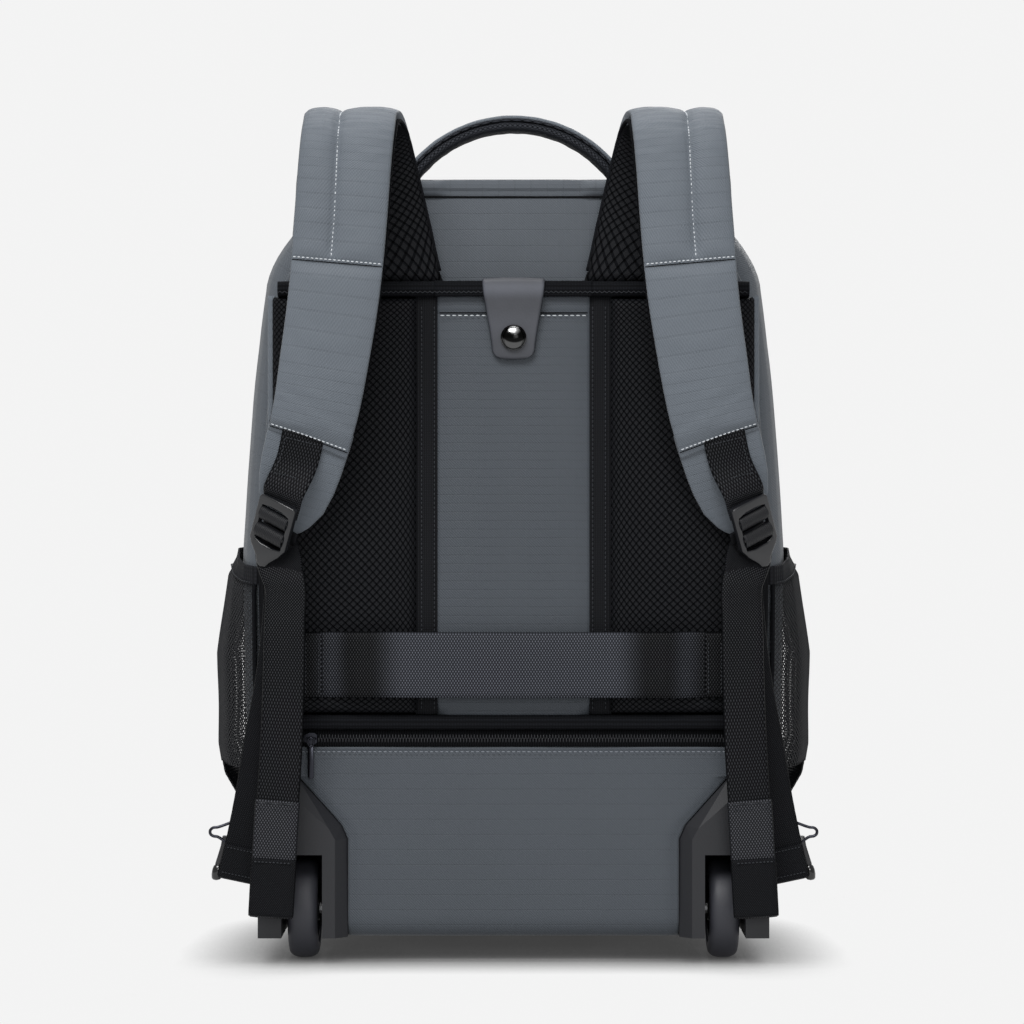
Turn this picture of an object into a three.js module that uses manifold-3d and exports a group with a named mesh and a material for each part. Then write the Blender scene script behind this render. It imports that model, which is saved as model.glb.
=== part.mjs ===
// A wheeled backpack seen from its harness side: a soft bag with padded back, shoulder straps and
// webbing, side net pockets, two wheels in moulded housings and a telescoping handle in a sleeve.
// Millimetres, +Z up, the harness side faces -Y, left is -X. Z is 0 where the wheels meet the ground.

import * as THREE from 'three';
import { mergeVertices } from 'three/addons/utils/BufferGeometryUtils.js';
import Module from 'manifold-3d';

const wasm = await Module();
wasm.setup();

// Driving sizes of the bag
const GAP = 0.3;
const BAG_HALF_WIDTH = 185;
const BAG_DEPTH = 205;
const BAG_BOTTOM = 18;
const BAG_TOP = 521;
const BAG_CORNER_WIDTH = 92;
const BAG_CORNER_HEIGHT = 72;
const BAG_FOOT_RADIUS = 14;
const BAG_WALL = 2;

// Main zip across the top and sides of the bag
const ZIP_FROM_BACK = 132;
const ZIP_WIDTH = 12;
const ZIP_LOWEST = 200;
const ZIP_PROUD = 0.8;
const SLIDER_REST = 0.22;

// Pocket on the front
const FRONT_POCKET_HALF_WIDTH = 132;
const FRONT_POCKET_BOTTOM = 62;
const FRONT_POCKET_TOP = 330;
const FRONT_POCKET_DEPTH = 28;
const FRONT_ZIP_HEIGHT = 12;
const FRONT_ZIP_BELOW_TOP = 44;
const FRONT_ZIP_HALF_LENGTH = 108;

// Back pads and the sleeve between them
const SLEEVE_HALF_WIDTH = 50;
const SLEEVE_DEPTH = 17;
const PAD_OUTER_X = 160;
const PAD_TOP = 441;
const PAD_BOTTOM = 165;
const PAD_THICK = 22;
const PAD_BORDER = 15;
const PANEL_THICK = 2;
const BINDING_HEIGHT = 10;
const BINDING_THICK = 1.6;

// Snap tab on the centre panel
const TAB_TOP_WIDTH = 40;
const TAB_LOW_WIDTH = 27;
const TAB_LENGTH = 51;
const TAB_THICK = 2;
const SNAP_RADIUS = 8;
const SNAP_ABOVE_END = 14;

// Webbing across the pads
const LUGGAGE_HALF_LENGTH = 140;
const LUGGAGE_WIDTH = 42;
const LUGGAGE_LOW = 177;
const LUGGAGE_THICK = 2;
const LUGGAGE_BOW = 7;
const LUGGAGE_SEWN = 14;

// Pocket below the pads
const LOWER_POCKET_DEPTH = 15;
const LOWER_POCKET_TOP = 143;
const LOWER_POCKET_HALF_WIDTH = 163;
const LOWER_ZIP_HEIGHT = 11;
const LOWER_ZIP_HALF_LENGTH = 150;
const SLIDER_LENGTH = 9;
const SLIDER_WIDTH = 8;
const SLIDER_THICK = 5;
const PULL_LENGTH = 24;
const PULL_WIDTH = 4;
const PULL_THICK = 1.6;

// Wheels and their housings
const WHEEL_RADIUS = 33;
const WHEEL_WIDTH = 20;
const WHEEL_X = 140;
const WHEEL_Y = 16;
const TYRE_THICK = 10;
const AXLE_RADIUS = 4;
const AXLE_HEAD_RADIUS = 7;
const AXLE_HEAD_THICK = 2;
const WELL_SIDE_ROOM = 3.5;
const WELL_RADIUS_ROOM = 6;
const HOUSING_WALL = 3;
const HOUSING_INNER_X = 110;
const HOUSING_OUTER_X = 169;
const HOUSING_TOP = 124;
const HOUSING_SHOULDER = 82;
const HOUSING_SHOULDER_RUN = 34;
const HOUSING_DEPTH = 64;
const HOUSING_PROUD = 20;
const HOUSING_LIP = 8;
const HOUSING_SKIN = 1.5;

// Plate and feet under the bag
const BASE_THICK = 3;
const BASE_HALF_WIDTH = 104;
const BASE_FRONT_MARGIN = 24;
const FOOT_X = 78;
const FOOT_WIDTH = 44;
const FOOT_DEPTH = 26;
const FOOT_FROM_FRONT = 44;

// Net pockets on the sides
const NET_WALL = 1.6;
const NET_TOP = 262;
const NET_BOTTOM = 96;
const NET_RIM_RISE = 12;
const NET_START_Y = 2;
const NET_END_Y = 150;
const NET_BULGE = 19;
const ELASTIC_THICK = 1.4;

// Carry handle
const HANDLE_HALF_SPAN = 79;
const HANDLE_RISE = 46;
const HANDLE_Y = 30;
const HANDLE_WIDTH = 26;
const HANDLE_THICK = 7;
const HANDLE_MESH_THICK = 3.4;

// Shoulder straps
const STRAP_THICK = 9;
const STRAP_MESH_THICK = 4;
const STRAP_SEAM_GAP = 0.9;
const STRAP_TOP_Z = 557;
const STRAP_HEM_Z = 346;
const STRAP_STAND_OFF = 66;
const STRAP_WIDTH = 60;
const TONGUE_THICK = 2;

// Webbing, ladder lock and the hook at the foot
const WEB_WIDTH = 26;
const WEB_THICK = 1.6;
const TAIL_END_Z = 34;
const TAIL_HIGH_X = 150;
const TAIL_END_X = 158;
const TAIL_FOLD = 50;
const ANCHOR_END_Z = 56;
const ANCHOR_END_X = 181;
const LOCK_WIDTH = 31;
const LOCK_LENGTH = 36;
const LOCK_THICK = 5;
const LOCK_RIM = 4.5;
const LOCK_BAR = 4;
const LOCK_TAB = 12;
const LOCK_LEAN = 20;
const LOCK_OUTWARD = 7;
const HOOK_THICK = 6;
const HOOK_RING_RISE = 25;
const RING_WIRE = 1.1;

// Telescoping handle
const TROLLEY_HALF_SPAN = 34;
const TROLLEY_TUBE = 6.6;
const TROLLEY_TUBE_WALL = 1;
const TROLLEY_BOTTOM = 170;
const TROLLEY_TUBE_TOP = 424;
const TROLLEY_COLLAR = 5;
const TROLLEY_GRIP_HEIGHT = 14;
const TROLLEY_GRIP_DEPTH = 13;
const TROLLEY_END_STEP = 4;

// Finishes
const GREY_FABRIC = { color: 0x5c6369, roughness: 0.62, metalness: 0 };
const DARK_FABRIC = { color: 0x4a5057, roughness: 0.65, metalness: 0 };
const AIR_MESH = { color: 0x16171a, roughness: 0.9, metalness: 0 };
const BLACK_NET = { color: 0x141517, roughness: 0.85, metalness: 0 };
const WEBBING = { color: 0x1f2023, roughness: 0.6, metalness: 0 };
const BLACK_TRIM = { color: 0x1a1b1e, roughness: 0.75, metalness: 0 };
const PLASTIC = { color: 0x2a2b2e, roughness: 0.5, metalness: 0 };
const TYRE = { color: 0x35363a, roughness: 0.75, metalness: 0 };
const TAB_LEATHER = { color: 0x57585c, roughness: 0.55, metalness: 0 };
const GLOSS_BLACK = { color: 0x0c0c0e, roughness: 0.12, metalness: 0.5 };
const GUNMETAL = { color: 0x3a3b3f, roughness: 0.3, metalness: 1 };
const STEEL = { color: 0xa0a2a6, roughness: 0.25, metalness: 1 };
const ALUMINIUM = { color: 0x8b8e92, roughness: 0.35, metalness: 1 };

const group = new THREE.Group();

// Helpers for closed solids

function add(name, geometry, finish) {
  const mesh = new THREE.Mesh(geometry, new THREE.MeshStandardMaterial(finish));
  mesh.name = name;
  group.add(mesh);
  return mesh;
}

function signedVolume(geometry) {
  const place = geometry.getAttribute('position');
  const order = geometry.index.array;
  const corner = [new THREE.Vector3(), new THREE.Vector3(), new THREE.Vector3()];
  let volume = 0;
  for (let i = 0; i < order.length; i += 3) {
    corner.forEach((point, k) => point.fromBufferAttribute(place, order[i + k]));
    volume += corner[0].dot(corner[1].clone().cross(corner[2])) / 6;
  }
  return volume;
}

function facingOut(geometry) {
  if (signedVolume(geometry) < 0) {
    const order = geometry.index.array;
    for (let i = 0; i < order.length; i += 3) {
      [order[i], order[i + 1]] = [order[i + 1], order[i]];
    }
  }
  return geometry;
}

function bare(geometry) {
  const copy = geometry.clone();
  copy.deleteAttribute('normal');
  copy.deleteAttribute('uv');
  return facingOut(mergeVertices(copy, 1e-4));
}

function meshFrom(points, triangles) {
  const geometry = new THREE.BufferGeometry();
  const values = points.flatMap((p) => [p.x, p.y, p.z]);
  geometry.setAttribute('position', new THREE.Float32BufferAttribute(values, 3));
  geometry.setIndex(triangles.flat());
  return facingOut(geometry);
}

function solid(geometry) {
  const merged = bare(geometry);
  return new wasm.Manifold(new wasm.Mesh({
    numProp: 3,
    vertProperties: new Float32Array(merged.getAttribute('position').array),
    triVerts: new Uint32Array(merged.index.array),
  }));
}

function surface(body) {
  const mesh = body.getMesh();
  const geometry = new THREE.BufferGeometry();
  geometry.setAttribute('position', new THREE.BufferAttribute(new Float32Array(mesh.vertProperties), 3));
  geometry.setIndex(Array.from(mesh.triVerts));
  return geometry;
}

function mirrored(geometry) {
  return facingOut(bare(geometry).scale(-1, 1, 1));
}

function addPair(name, leftGeometry, finish) {
  add(`${name}_left`, leftGeometry, finish);
  add(`${name}_right`, mirrored(leftGeometry), finish);
}

function block(x0, x1, y0, y1, z0, z1) {
  const geometry = new THREE.BoxGeometry(x1 - x0, y1 - y0, z1 - z0);
  return geometry.translate((x0 + x1) / 2, (y0 + y1) / 2, (z0 + z1) / 2);
}

// A closed solid through rings of equal length, with flat fans at both ends
function loft(rings) {
  const count = rings[0].length;
  const points = rings.flat();
  const triangles = [];
  for (let i = 0; i + 1 < rings.length; i += 1) {
    for (let k = 0; k < count; k += 1) {
      const a = i * count + k;
      const b = i * count + ((k + 1) % count);
      triangles.push([a, b, b + count], [a, b + count, a + count]);
    }
  }
  [0, rings.length - 1].forEach((end) => {
    const middle = rings[end].reduce((sum, p) => sum.add(p), new THREE.Vector3()).divideScalar(count);
    points.push(middle);
    for (let k = 0; k < count; k += 1) {
      const a = end * count + k;
      const b = end * count + ((k + 1) % count);
      triangles.push(end === 0 ? [points.length - 1, b, a] : [points.length - 1, a, b]);
    }
  });
  return meshFrom(points, triangles);
}

// A wall of cloth: pair(u, v) gives the outer and the inner point, u and v from 0 to 1
function clothWall(across, along, pair) {
  const outer = [];
  const inner = [];
  for (let j = 0; j <= along; j += 1) {
    for (let i = 0; i <= across; i += 1) {
      const [out, back] = pair(i / across, j / along);
      outer.push(out);
      inner.push(back);
    }
  }
  const wide = across + 1;
  const half = outer.length;
  const triangles = [];
  for (let j = 0; j < along; j += 1) {
    for (let i = 0; i < across; i += 1) {
      const a = j * wide + i;
      triangles.push([a, a + 1, a + wide + 1], [a, a + wide + 1, a + wide]);
      triangles.push([half + a, half + a + wide + 1, half + a + 1]);
      triangles.push([half + a, half + a + wide, half + a + wide + 1]);
    }
  }
  const rim = [];
  for (let i = 0; i < across; i += 1) rim.push(i);
  for (let j = 0; j < along; j += 1) rim.push(j * wide + across);
  for (let i = across; i > 0; i -= 1) rim.push(along * wide + i);
  for (let j = along; j > 0; j -= 1) rim.push(j * wide);
  rim.forEach((a, k) => {
    const b = rim[(k + 1) % rim.length];
    triangles.push([b, a, half + a], [b, half + a, half + b]);
  });
  return meshFrom([...outer, ...inner], triangles);
}

// An outline of [x, z] points carried along Y
function prismY(outline, y0, y1) {
  const shape = new THREE.Shape(outline.map(([x, z]) => new THREE.Vector2(x, z)));
  const geometry = new THREE.ExtrudeGeometry(shape, { depth: y1 - y0, bevelEnabled: false });
  return geometry.rotateX(Math.PI / 2).translate(0, y1, 0);
}

// An outline of [y, z] points carried along X
function prismX(outline, x0, x1) {
  const shape = new THREE.Shape(outline.map(([y, z]) => new THREE.Vector2(y, z)));
  const geometry = new THREE.ExtrudeGeometry(shape, { depth: x1 - x0, bevelEnabled: false });
  return geometry.rotateZ(Math.PI / 2).rotateY(Math.PI / 2).translate(x0, 0, 0);
}

function arc(centreX, centreZ, radiusX, radiusZ, fromDegrees, toDegrees, steps) {
  return [...Array(steps + 1).keys()].map((i) => {
    const angle = THREE.MathUtils.degToRad(fromDegrees + ((toDegrees - fromDegrees) * i) / steps);
    return [centreX + radiusX * Math.cos(angle), centreZ + radiusZ * Math.sin(angle)];
  });
}

function roundedOutline(x0, x1, z0, z1, radius, steps = 3) {
  return [
    ...arc(x1 - radius, z0 + radius, radius, radius, -90, 0, steps),
    ...arc(x1 - radius, z1 - radius, radius, radius, 0, 90, steps),
    ...arc(x0 + radius, z1 - radius, radius, radius, 90, 180, steps),
    ...arc(x0 + radius, z0 + radius, radius, radius, 180, 270, steps),
  ];
}

// Reads a table of rows by its first column, straight between rows
function readTable(table, key, at, column) {
  const last = table.length - 1;
  if (at <= table[0][key]) return table[0][column];
  if (at >= table[last][key]) return table[last][column];
  const next = table.findIndex((row) => row[key] > at);
  const [low, high] = [table[next - 1], table[next]];
  const share = (at - low[key]) / (high[key] - low[key]);
  return low[column] + share * (high[column] - low[column]);
}

// A curve through rows of { out, off, z }: out is the distance from the middle plane on the left,
// off the distance from the harness wall
function route(rows) {
  const points = rows.map((row) => new THREE.Vector3(-row.out, -row.off, row.z));
  return new THREE.CatmullRomCurve3(points, false, 'centripetal');
}

// The place and directions of a strap at a share of its curve: side lies across it, face is its outer face
function strapFrame(curve, share) {
  const centre = curve.getPoint(share);
  const along = curve.getTangent(share);
  const side = new THREE.Vector3(1, 0, 0);
  side.addScaledVector(along, -side.dot(along)).normalize();
  return { centre, along, side, face: along.clone().cross(side) };
}

function placeOn(frame, across, out) {
  return frame.centre.clone().addScaledVector(frame.side, across).addScaledVector(frame.face, out);
}

// Webbing with a flat section: it stands out from the curve between two distances
function webbing(curve, steps, width, inside, outside, from = 0, to = 1) {
  return clothWall(1, steps, (u, v) => {
    const frame = strapFrame(curve, from + (to - from) * v);
    const across = (u - 0.5) * width;
    return [placeOn(frame, across, outside), placeOn(frame, across, inside)];
  });
}

// A padded strap with a rounded section
const PAD_SECTION_POINTS = 10;
const PAD_SECTION_ROUNDNESS = 0.45;
function paddedStrap(curve, steps, widthAt, inside, outside) {
  const rings = [];
  const squash = (value) => Math.sign(value) * Math.abs(value) ** PAD_SECTION_ROUNDNESS;
  for (let i = 0; i <= steps; i += 1) {
    const frame = strapFrame(curve, i / steps);
    rings.push([...Array(PAD_SECTION_POINTS).keys()].map((k) => {
      const angle = (2 * Math.PI * (k + 0.5)) / PAD_SECTION_POINTS;
      const across = (squash(Math.cos(angle)) * widthAt(i / steps)) / 2;
      const out = (inside + outside) / 2 + (squash(Math.sin(angle)) * (outside - inside)) / 2;
      return placeOn(frame, across, out);
    }));
  }
  return loft(rings);
}

// The bag: rings from the harness wall to the front. back and front are shares of the edge roundings.
const BAG_SECTIONS = [
  { depth: 0, back: 1, front: 0 },
  { depth: 0.02, back: 0.6, front: 0 },
  { depth: 0.06, back: 0.3, front: 0 },
  { depth: 0.13, back: 0.1, front: 0 },
  { depth: 0.26, back: 0, front: 0 },
  { depth: 0.5, back: 0, front: 0.02 },
  { depth: 0.72, back: 0, front: 0.13 },
  { depth: 0.87, back: 0, front: 0.36 },
  { depth: 0.96, back: 0, front: 0.66 },
  { depth: 1, back: 0, front: 1 },
];
const BACK_EDGE = { side: 20, top: 15, foot: 6 };
const FRONT_EDGE = { side: 34, top: 54, foot: 12 };

// Share of the half width by share of the height
const BAG_SIDES = [
  { height: 0, width: 0.93 },
  { height: 0.15, width: 0.975 },
  { height: 0.35, width: 0.992 },
  { height: 0.5, width: 1 },
  { height: 0.62, width: 0.98 },
  { height: 0.72, width: 0.96 },
  { height: 0.8, width: 0.936 },
  { height: 0.86, width: 0.915 },
];
const BAG_SIDE_STEPS = 6;
const BAG_CORNER_STEPS = 5;
const BAG_CORNER_ROUNDNESS = 1.15;

function edgeInset(depthShare, edge) {
  const back = readTable(BAG_SECTIONS, 'depth', depthShare, 'back');
  const front = readTable(BAG_SECTIONS, 'depth', depthShare, 'front');
  return back * BACK_EDGE[edge] + front * FRONT_EDGE[edge];
}

function bagSideX(y, z) {
  const share = y / BAG_DEPTH;
  const low = BAG_BOTTOM + edgeInset(share, 'foot');
  const high = BAG_TOP - edgeInset(share, 'top');
  const width = readTable(BAG_SIDES, 'height', (z - low) / (high - low), 'width');
  return width * BAG_HALF_WIDTH - edgeInset(share, 'side');
}

function bagRing(depthShare, shrink) {
  const y = shrink + depthShare * (BAG_DEPTH - 2 * shrink);
  const low = BAG_BOTTOM + edgeInset(depthShare, 'foot') + shrink;
  const high = BAG_TOP - edgeInset(depthShare, 'top') - shrink;
  const inset = edgeInset(depthShare, 'side') + shrink;
  const reach = (z) => {
    const width = readTable(BAG_SIDES, 'height', (z - low) / (high - low), 'width');
    return width * BAG_HALF_WIDTH - inset;
  };
  const footTop = low + BAG_FOOT_RADIUS;
  const cornerStart = high - BAG_CORNER_HEIGHT;
  const half = arc(reach(footTop) - BAG_FOOT_RADIUS, footTop, BAG_FOOT_RADIUS, BAG_FOOT_RADIUS, -90, 0, 3);
  for (let i = 1; i < BAG_SIDE_STEPS; i += 1) {
    const z = footTop + ((cornerStart - footTop) * i) / BAG_SIDE_STEPS;
    half.push([reach(z), z]);
  }
  for (let i = 0; i <= BAG_CORNER_STEPS; i += 1) {
    const angle = (Math.PI / 2) * (i / BAG_CORNER_STEPS);
    half.push([
      reach(cornerStart) - BAG_CORNER_WIDTH * (1 - Math.max(Math.cos(angle), 0) ** BAG_CORNER_ROUNDNESS),
      cornerStart + BAG_CORNER_HEIGHT * Math.sin(angle) ** BAG_CORNER_ROUNDNESS,
    ]);
  }
  const left = half.map(([x, z]) => [-x, z]).reverse();
  return [[0, low], ...half, [0, high], ...left].map(([x, z]) => new THREE.Vector3(x, y, z));
}

function bagSolid(shrink) {
  return solid(loft(BAG_SECTIONS.map((row) => bagRing(row.depth, shrink))));
}

// Outline of a wheel housing on the left, grown or drawn in, with its cut-off inner shoulder
const FAR = 260;
function housingOutline(grow) {
  const inner = -HOUSING_INNER_X + grow;
  const top = HOUSING_TOP + grow;
  return [
    [-FAR, -FAR],
    [inner, -FAR],
    [inner, HOUSING_SHOULDER],
    [inner - HOUSING_SHOULDER_RUN * 0.12, HOUSING_SHOULDER + (top - HOUSING_SHOULDER) * 0.22],
    [inner - HOUSING_SHOULDER_RUN, top],
    [-FAR, top],
  ];
}

function housingPrism(grow, y0, y1) {
  return prismY(housingOutline(grow), y0, y1);
}

const bagOuter = bagSolid(0);
const bagGrown = bagSolid(-GAP);

function buildBag() {
  const wall = bagOuter.subtract(bagSolid(BAG_WALL));
  const zipFront = ZIP_FROM_BACK + ZIP_WIDTH;
  const slot = solid(block(-FAR, FAR, ZIP_FROM_BACK, zipFront, ZIP_LOWEST, BAG_TOP + FAR));
  const [roomLow, roomHigh] = [ZIP_FROM_BACK + GAP, zipFront - GAP];
  const zipRoom = solid(block(-FAR, FAR, roomLow, roomHigh, ZIP_LOWEST + GAP, BAG_TOP + FAR));
  const housingRoom = solid(housingPrism(GAP, -FAR, HOUSING_DEPTH + GAP));
  const housingRoomRight = solid(mirrored(housingPrism(GAP, -FAR, HOUSING_DEPTH + GAP)));
  const shell = wall.subtract(slot).subtract(housingRoom).subtract(housingRoomRight);
  add('bag_shell', surface(shell), GREY_FABRIC);
  const zipWall = bagSolid(-ZIP_PROUD).subtract(bagSolid(BAG_WALL));
  add('main_zip', surface(zipWall.intersect(zipRoom)), BLACK_TRIM);
}

// A zip slider as a block with a waist, its pull lying flat beside it
function sliderBody() {
  const long = SLIDER_LENGTH / 2;
  const wide = SLIDER_WIDTH / 2;
  const outline = [[-long, -wide * 0.55], [-long * 0.2, -wide], [long, -wide],
    [long, wide], [-long * 0.2, wide], [-long, wide * 0.55]];
  return prismY(outline, -SLIDER_THICK, 0);
}

function pullTab() {
  const tab = roundedOutline(-PULL_WIDTH / 2, PULL_WIDTH / 2, -PULL_LENGTH, 0, PULL_WIDTH * 0.45);
  return prismY(tab, -PULL_THICK, 0);
}

function buildMainZipSlider() {
  const x = -BAG_HALF_WIDTH * SLIDER_REST;
  const y = ZIP_FROM_BACK + ZIP_WIDTH / 2;
  const z = BAG_TOP + ZIP_PROUD + GAP - edgeInset((ZIP_FROM_BACK - ZIP_PROUD) / BAG_DEPTH, 'top');
  const lieDown = (geometry) => geometry.rotateX(-Math.PI / 2).translate(x, y, z);
  add('main_zip_slider', lieDown(sliderBody()), GUNMETAL);
  const pull = pullTab().rotateY(-Math.PI / 2).translate(SLIDER_LENGTH / 2 + GAP, 0, 0);
  add('main_zip_pull', lieDown(pull), GUNMETAL);
}

// Front pocket: an open-backed soft bowl on the flat front, with a zip across its face
const FRONT_POCKET_SECTIONS = [
  { depth: 0, inset: 0 },
  { depth: 0.45, inset: 0.02 },
  { depth: 0.75, inset: 0.12 },
  { depth: 0.93, inset: 0.3 },
  { depth: 1, inset: 0.62 },
];
const FRONT_POCKET_EDGE = 30;
const FRONT_POCKET_CORNER = 46;

function frontPocketSolid(shrink, back) {
  const depth = FRONT_POCKET_DEPTH - shrink;
  return solid(loft(FRONT_POCKET_SECTIONS.map((row) => {
    const inset = row.inset * FRONT_POCKET_EDGE + shrink;
    const y = BAG_DEPTH + back + row.depth * (depth - back);
    const x = FRONT_POCKET_HALF_WIDTH - inset;
    const low = FRONT_POCKET_BOTTOM + inset;
    const high = FRONT_POCKET_TOP - inset;
    const outline = roundedOutline(-x, x, low, high, FRONT_POCKET_CORNER - shrink, 3);
    return outline.map(([px, pz]) => new THREE.Vector3(px, y, pz));
  })));
}

function buildFrontPocket() {
  const zipTop = FRONT_POCKET_TOP - FRONT_ZIP_BELOW_TOP;
  const farY = BAG_DEPTH + FAR;
  const midY = BAG_DEPTH + FRONT_POCKET_DEPTH / 2;
  const half = FRONT_ZIP_HALF_LENGTH;
  const slot = solid(block(-half, half, midY, farY, zipTop - FRONT_ZIP_HEIGHT, zipTop));
  const zipLow = zipTop - FRONT_ZIP_HEIGHT + GAP;
  const room = solid(block(-half + GAP, half - GAP, midY, farY, zipLow, zipTop - GAP));
  const wall = frontPocketSolid(0, GAP).subtract(frontPocketSolid(BAG_WALL, -FRONT_POCKET_DEPTH));
  add('front_pocket', surface(wall.subtract(slot)), GREY_FABRIC);
  add('front_zip', surface(wall.intersect(room)), BLACK_TRIM);
  const faceY = BAG_DEPTH + FRONT_POCKET_DEPTH + GAP;
  const turn = (geometry) => {
    return geometry.rotateZ(Math.PI).translate(-half * 0.8, faceY, zipTop - FRONT_ZIP_HEIGHT / 2);
  };
  add('front_zip_slider', turn(sliderBody()), GUNMETAL);
  add('front_zip_pull', turn(pullTab().translate(0, -SLIDER_THICK - GAP, 0)), GUNMETAL);
}

// Padding against the back

function padRing(y, inset) {
  const outline = roundedOutline(
    -PAD_OUTER_X + inset,
    -SLEEVE_HALF_WIDTH - PAD_BORDER * 0.8 - inset,
    PAD_BOTTOM + inset * 0.6,
    PAD_TOP - inset * 0.6,
    Math.max(4 + inset, 4),
  );
  return outline.map(([x, z]) => new THREE.Vector3(x, y, z));
}

const PAD_SECTIONS = [
  { depth: 0, inset: 0 },
  { depth: 0.55, inset: 0 },
  { depth: 0.8, inset: 0.22 },
  { depth: 0.94, inset: 0.55 },
  { depth: 1, inset: 1 },
];
const PAD_EDGE = 11;

function buildPads() {
  const crown = solid(loft(PAD_SECTIONS.map((row) => {
    return padRing(-GAP - row.depth * (PAD_THICK - GAP), row.inset * PAD_EDGE);
  })));
  const inner = -SLEEVE_HALF_WIDTH;
  const border = solid(block(inner - PAD_BORDER, inner, -SLEEVE_DEPTH, -GAP, PAD_BOTTOM, PAD_TOP));
  addPair('back_pad', surface(crown.add(border)), AIR_MESH);
  const bindingLow = PAD_TOP + GAP;
  const bindingHigh = bindingLow + BINDING_HEIGHT;
  const barHalf = PAD_OUTER_X - 4;
  const bar = solid(block(-barHalf, barHalf, -PAD_THICK, -GAP, bindingLow, bindingHigh));
  const mouthX = SLEEVE_HALF_WIDTH - BINDING_THICK;
  const mouth = solid(block(-mouthX, mouthX, -SLEEVE_DEPTH, FAR, bindingLow - 1, bindingHigh + 1));
  add('pad_binding', surface(bar.subtract(mouth)), BLACK_TRIM);
  const bandTop = PAD_BOTTOM - GAP;
  const band = block(-barHalf, barHalf, -PAD_THICK + 2, -GAP, bandTop - BINDING_HEIGHT, bandTop);
  add('lower_band', band, BLACK_TRIM);
}

const PANEL_CROWN = 2;
function buildCentrePanel() {
  const half = SLEEVE_HALF_WIDTH - GAP;
  add('centre_panel', clothWall(6, 6, (u, v) => {
    const x = (2 * u - 1) * half;
    const z = PAD_BOTTOM + (PAD_TOP - PAD_BOTTOM) * v;
    const y = -SLEEVE_DEPTH - PANEL_CROWN * (1 - (2 * u - 1) ** 4) * Math.sin(Math.PI * v) ** 0.4;
    return [new THREE.Vector3(x, y, z), new THREE.Vector3(x, y + PANEL_THICK, z)];
  }), GREY_FABRIC);
}

const SNAP_HEIGHT = 4.8;
const SNAP_DOME = [
  { radius: 0, height: 0 },
  { radius: 1, height: 0 },
  { radius: 1, height: 0.21 },
  { radius: 0.82, height: 0.42 },
  { radius: 0.6, height: 0.75 },
  { radius: 0.3, height: 0.94 },
  { radius: 0, height: 1 },
];

// The tab is sewn behind the binding, folds over it and is snapped shut on the centre panel
function buildSnapTab() {
  const over = PAD_TOP + GAP + BINDING_HEIGHT + GAP + TAB_THICK / 2;
  const behind = SLEEVE_DEPTH - GAP - TAB_THICK / 2;
  const front = PAD_THICK + GAP + TAB_THICK / 2;
  const end = over - TAB_LENGTH;
  const corners = [
    [behind, PAD_TOP + GAP],
    [behind, over - 1],
    [behind + 1, over],
    [front - 1, over],
    [front, over - 1],
    [front, over - TAB_LENGTH * 0.35],
    [front, end + 4],
    [front, end],
  ].map(([off, z]) => new THREE.Vector3(0, -off, z));
  const rings = corners.map((corner, i) => {
    const before = corners[Math.max(i - 1, 0)];
    const after = corners[Math.min(i + 1, corners.length - 1)];
    const along = after.clone().sub(before).normalize();
    const face = new THREE.Vector3(0, -along.z, along.y).multiplyScalar(TAB_THICK / 2);
    const fallen = i < 4 ? 0 : (over - corner.z) / TAB_LENGTH;
    const width = TAB_TOP_WIDTH + (TAB_LOW_WIDTH - TAB_TOP_WIDTH) * fallen;
    const half = width / 2 - (corner.z === end ? 4 : 0);
    return [[-half, 1], [half, 1], [half, -1], [-half, -1]]
      .map(([x, side]) => corner.clone().addScaledVector(face, side).setX(x));
  });
  add('snap_tab', loft(rings), TAB_LEATHER);
  const dome = SNAP_DOME.map((row) => new THREE.Vector2(SNAP_RADIUS * row.radius, SNAP_HEIGHT * row.height));
  const button = new THREE.LatheGeometry(dome, 10).rotateX(Math.PI);
  add('snap_button', button.translate(0, -front - TAB_THICK / 2 - GAP, end + SNAP_ABOVE_END), GLOSS_BLACK);
}

function buildLuggageStrap() {
  add('luggage_strap', clothWall(20, 1, (u, v) => {
    const x = (2 * u - 1) * LUGGAGE_HALF_LENGTH;
    const fromEnd = LUGGAGE_HALF_LENGTH - Math.abs(x);
    const rise = THREE.MathUtils.smoothstep(fromEnd, LUGGAGE_SEWN, LUGGAGE_SEWN * 3);
    const y = -PAD_THICK - GAP - LUGGAGE_BOW * rise;
    const z = LUGGAGE_LOW + LUGGAGE_WIDTH * v;
    return [new THREE.Vector3(x, y - LUGGAGE_THICK, z), new THREE.Vector3(x, y, z)];
  }), WEBBING);
}

// Pocket below the pads, between the wheel housings
const LOWER_POCKET_SECTIONS = [
  { depth: 0, inset: 0 },
  { depth: 0.4, inset: 0.08 },
  { depth: 0.75, inset: 0.3 },
  { depth: 0.93, inset: 0.6 },
  { depth: 1, inset: 1 },
];
const LOWER_POCKET_EDGE = 12;
const LOWER_POCKET_CORNER = 10;

function lowerPocketSolid(shrink, back, top) {
  const depth = LOWER_POCKET_DEPTH - shrink;
  return solid(loft(LOWER_POCKET_SECTIONS.map((row) => {
    const inset = row.inset * LOWER_POCKET_EDGE;
    const half = LOWER_POCKET_HALF_WIDTH - inset * 0.7 - shrink;
    const low = BAG_BOTTOM - 1 + inset * 0.5 + shrink;
    const y = -back - row.depth * (depth - back);
    const round = LOWER_POCKET_CORNER;
    return [
      ...arc(half - round, low + round, round, round, -90, 0, 3),
      [half, top],
      [-half, top],
      ...arc(round - half, low + round, round, round, 180, 270, 3),
    ].map(([x, z]) => new THREE.Vector3(x, y, z));
  })));
}

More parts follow.
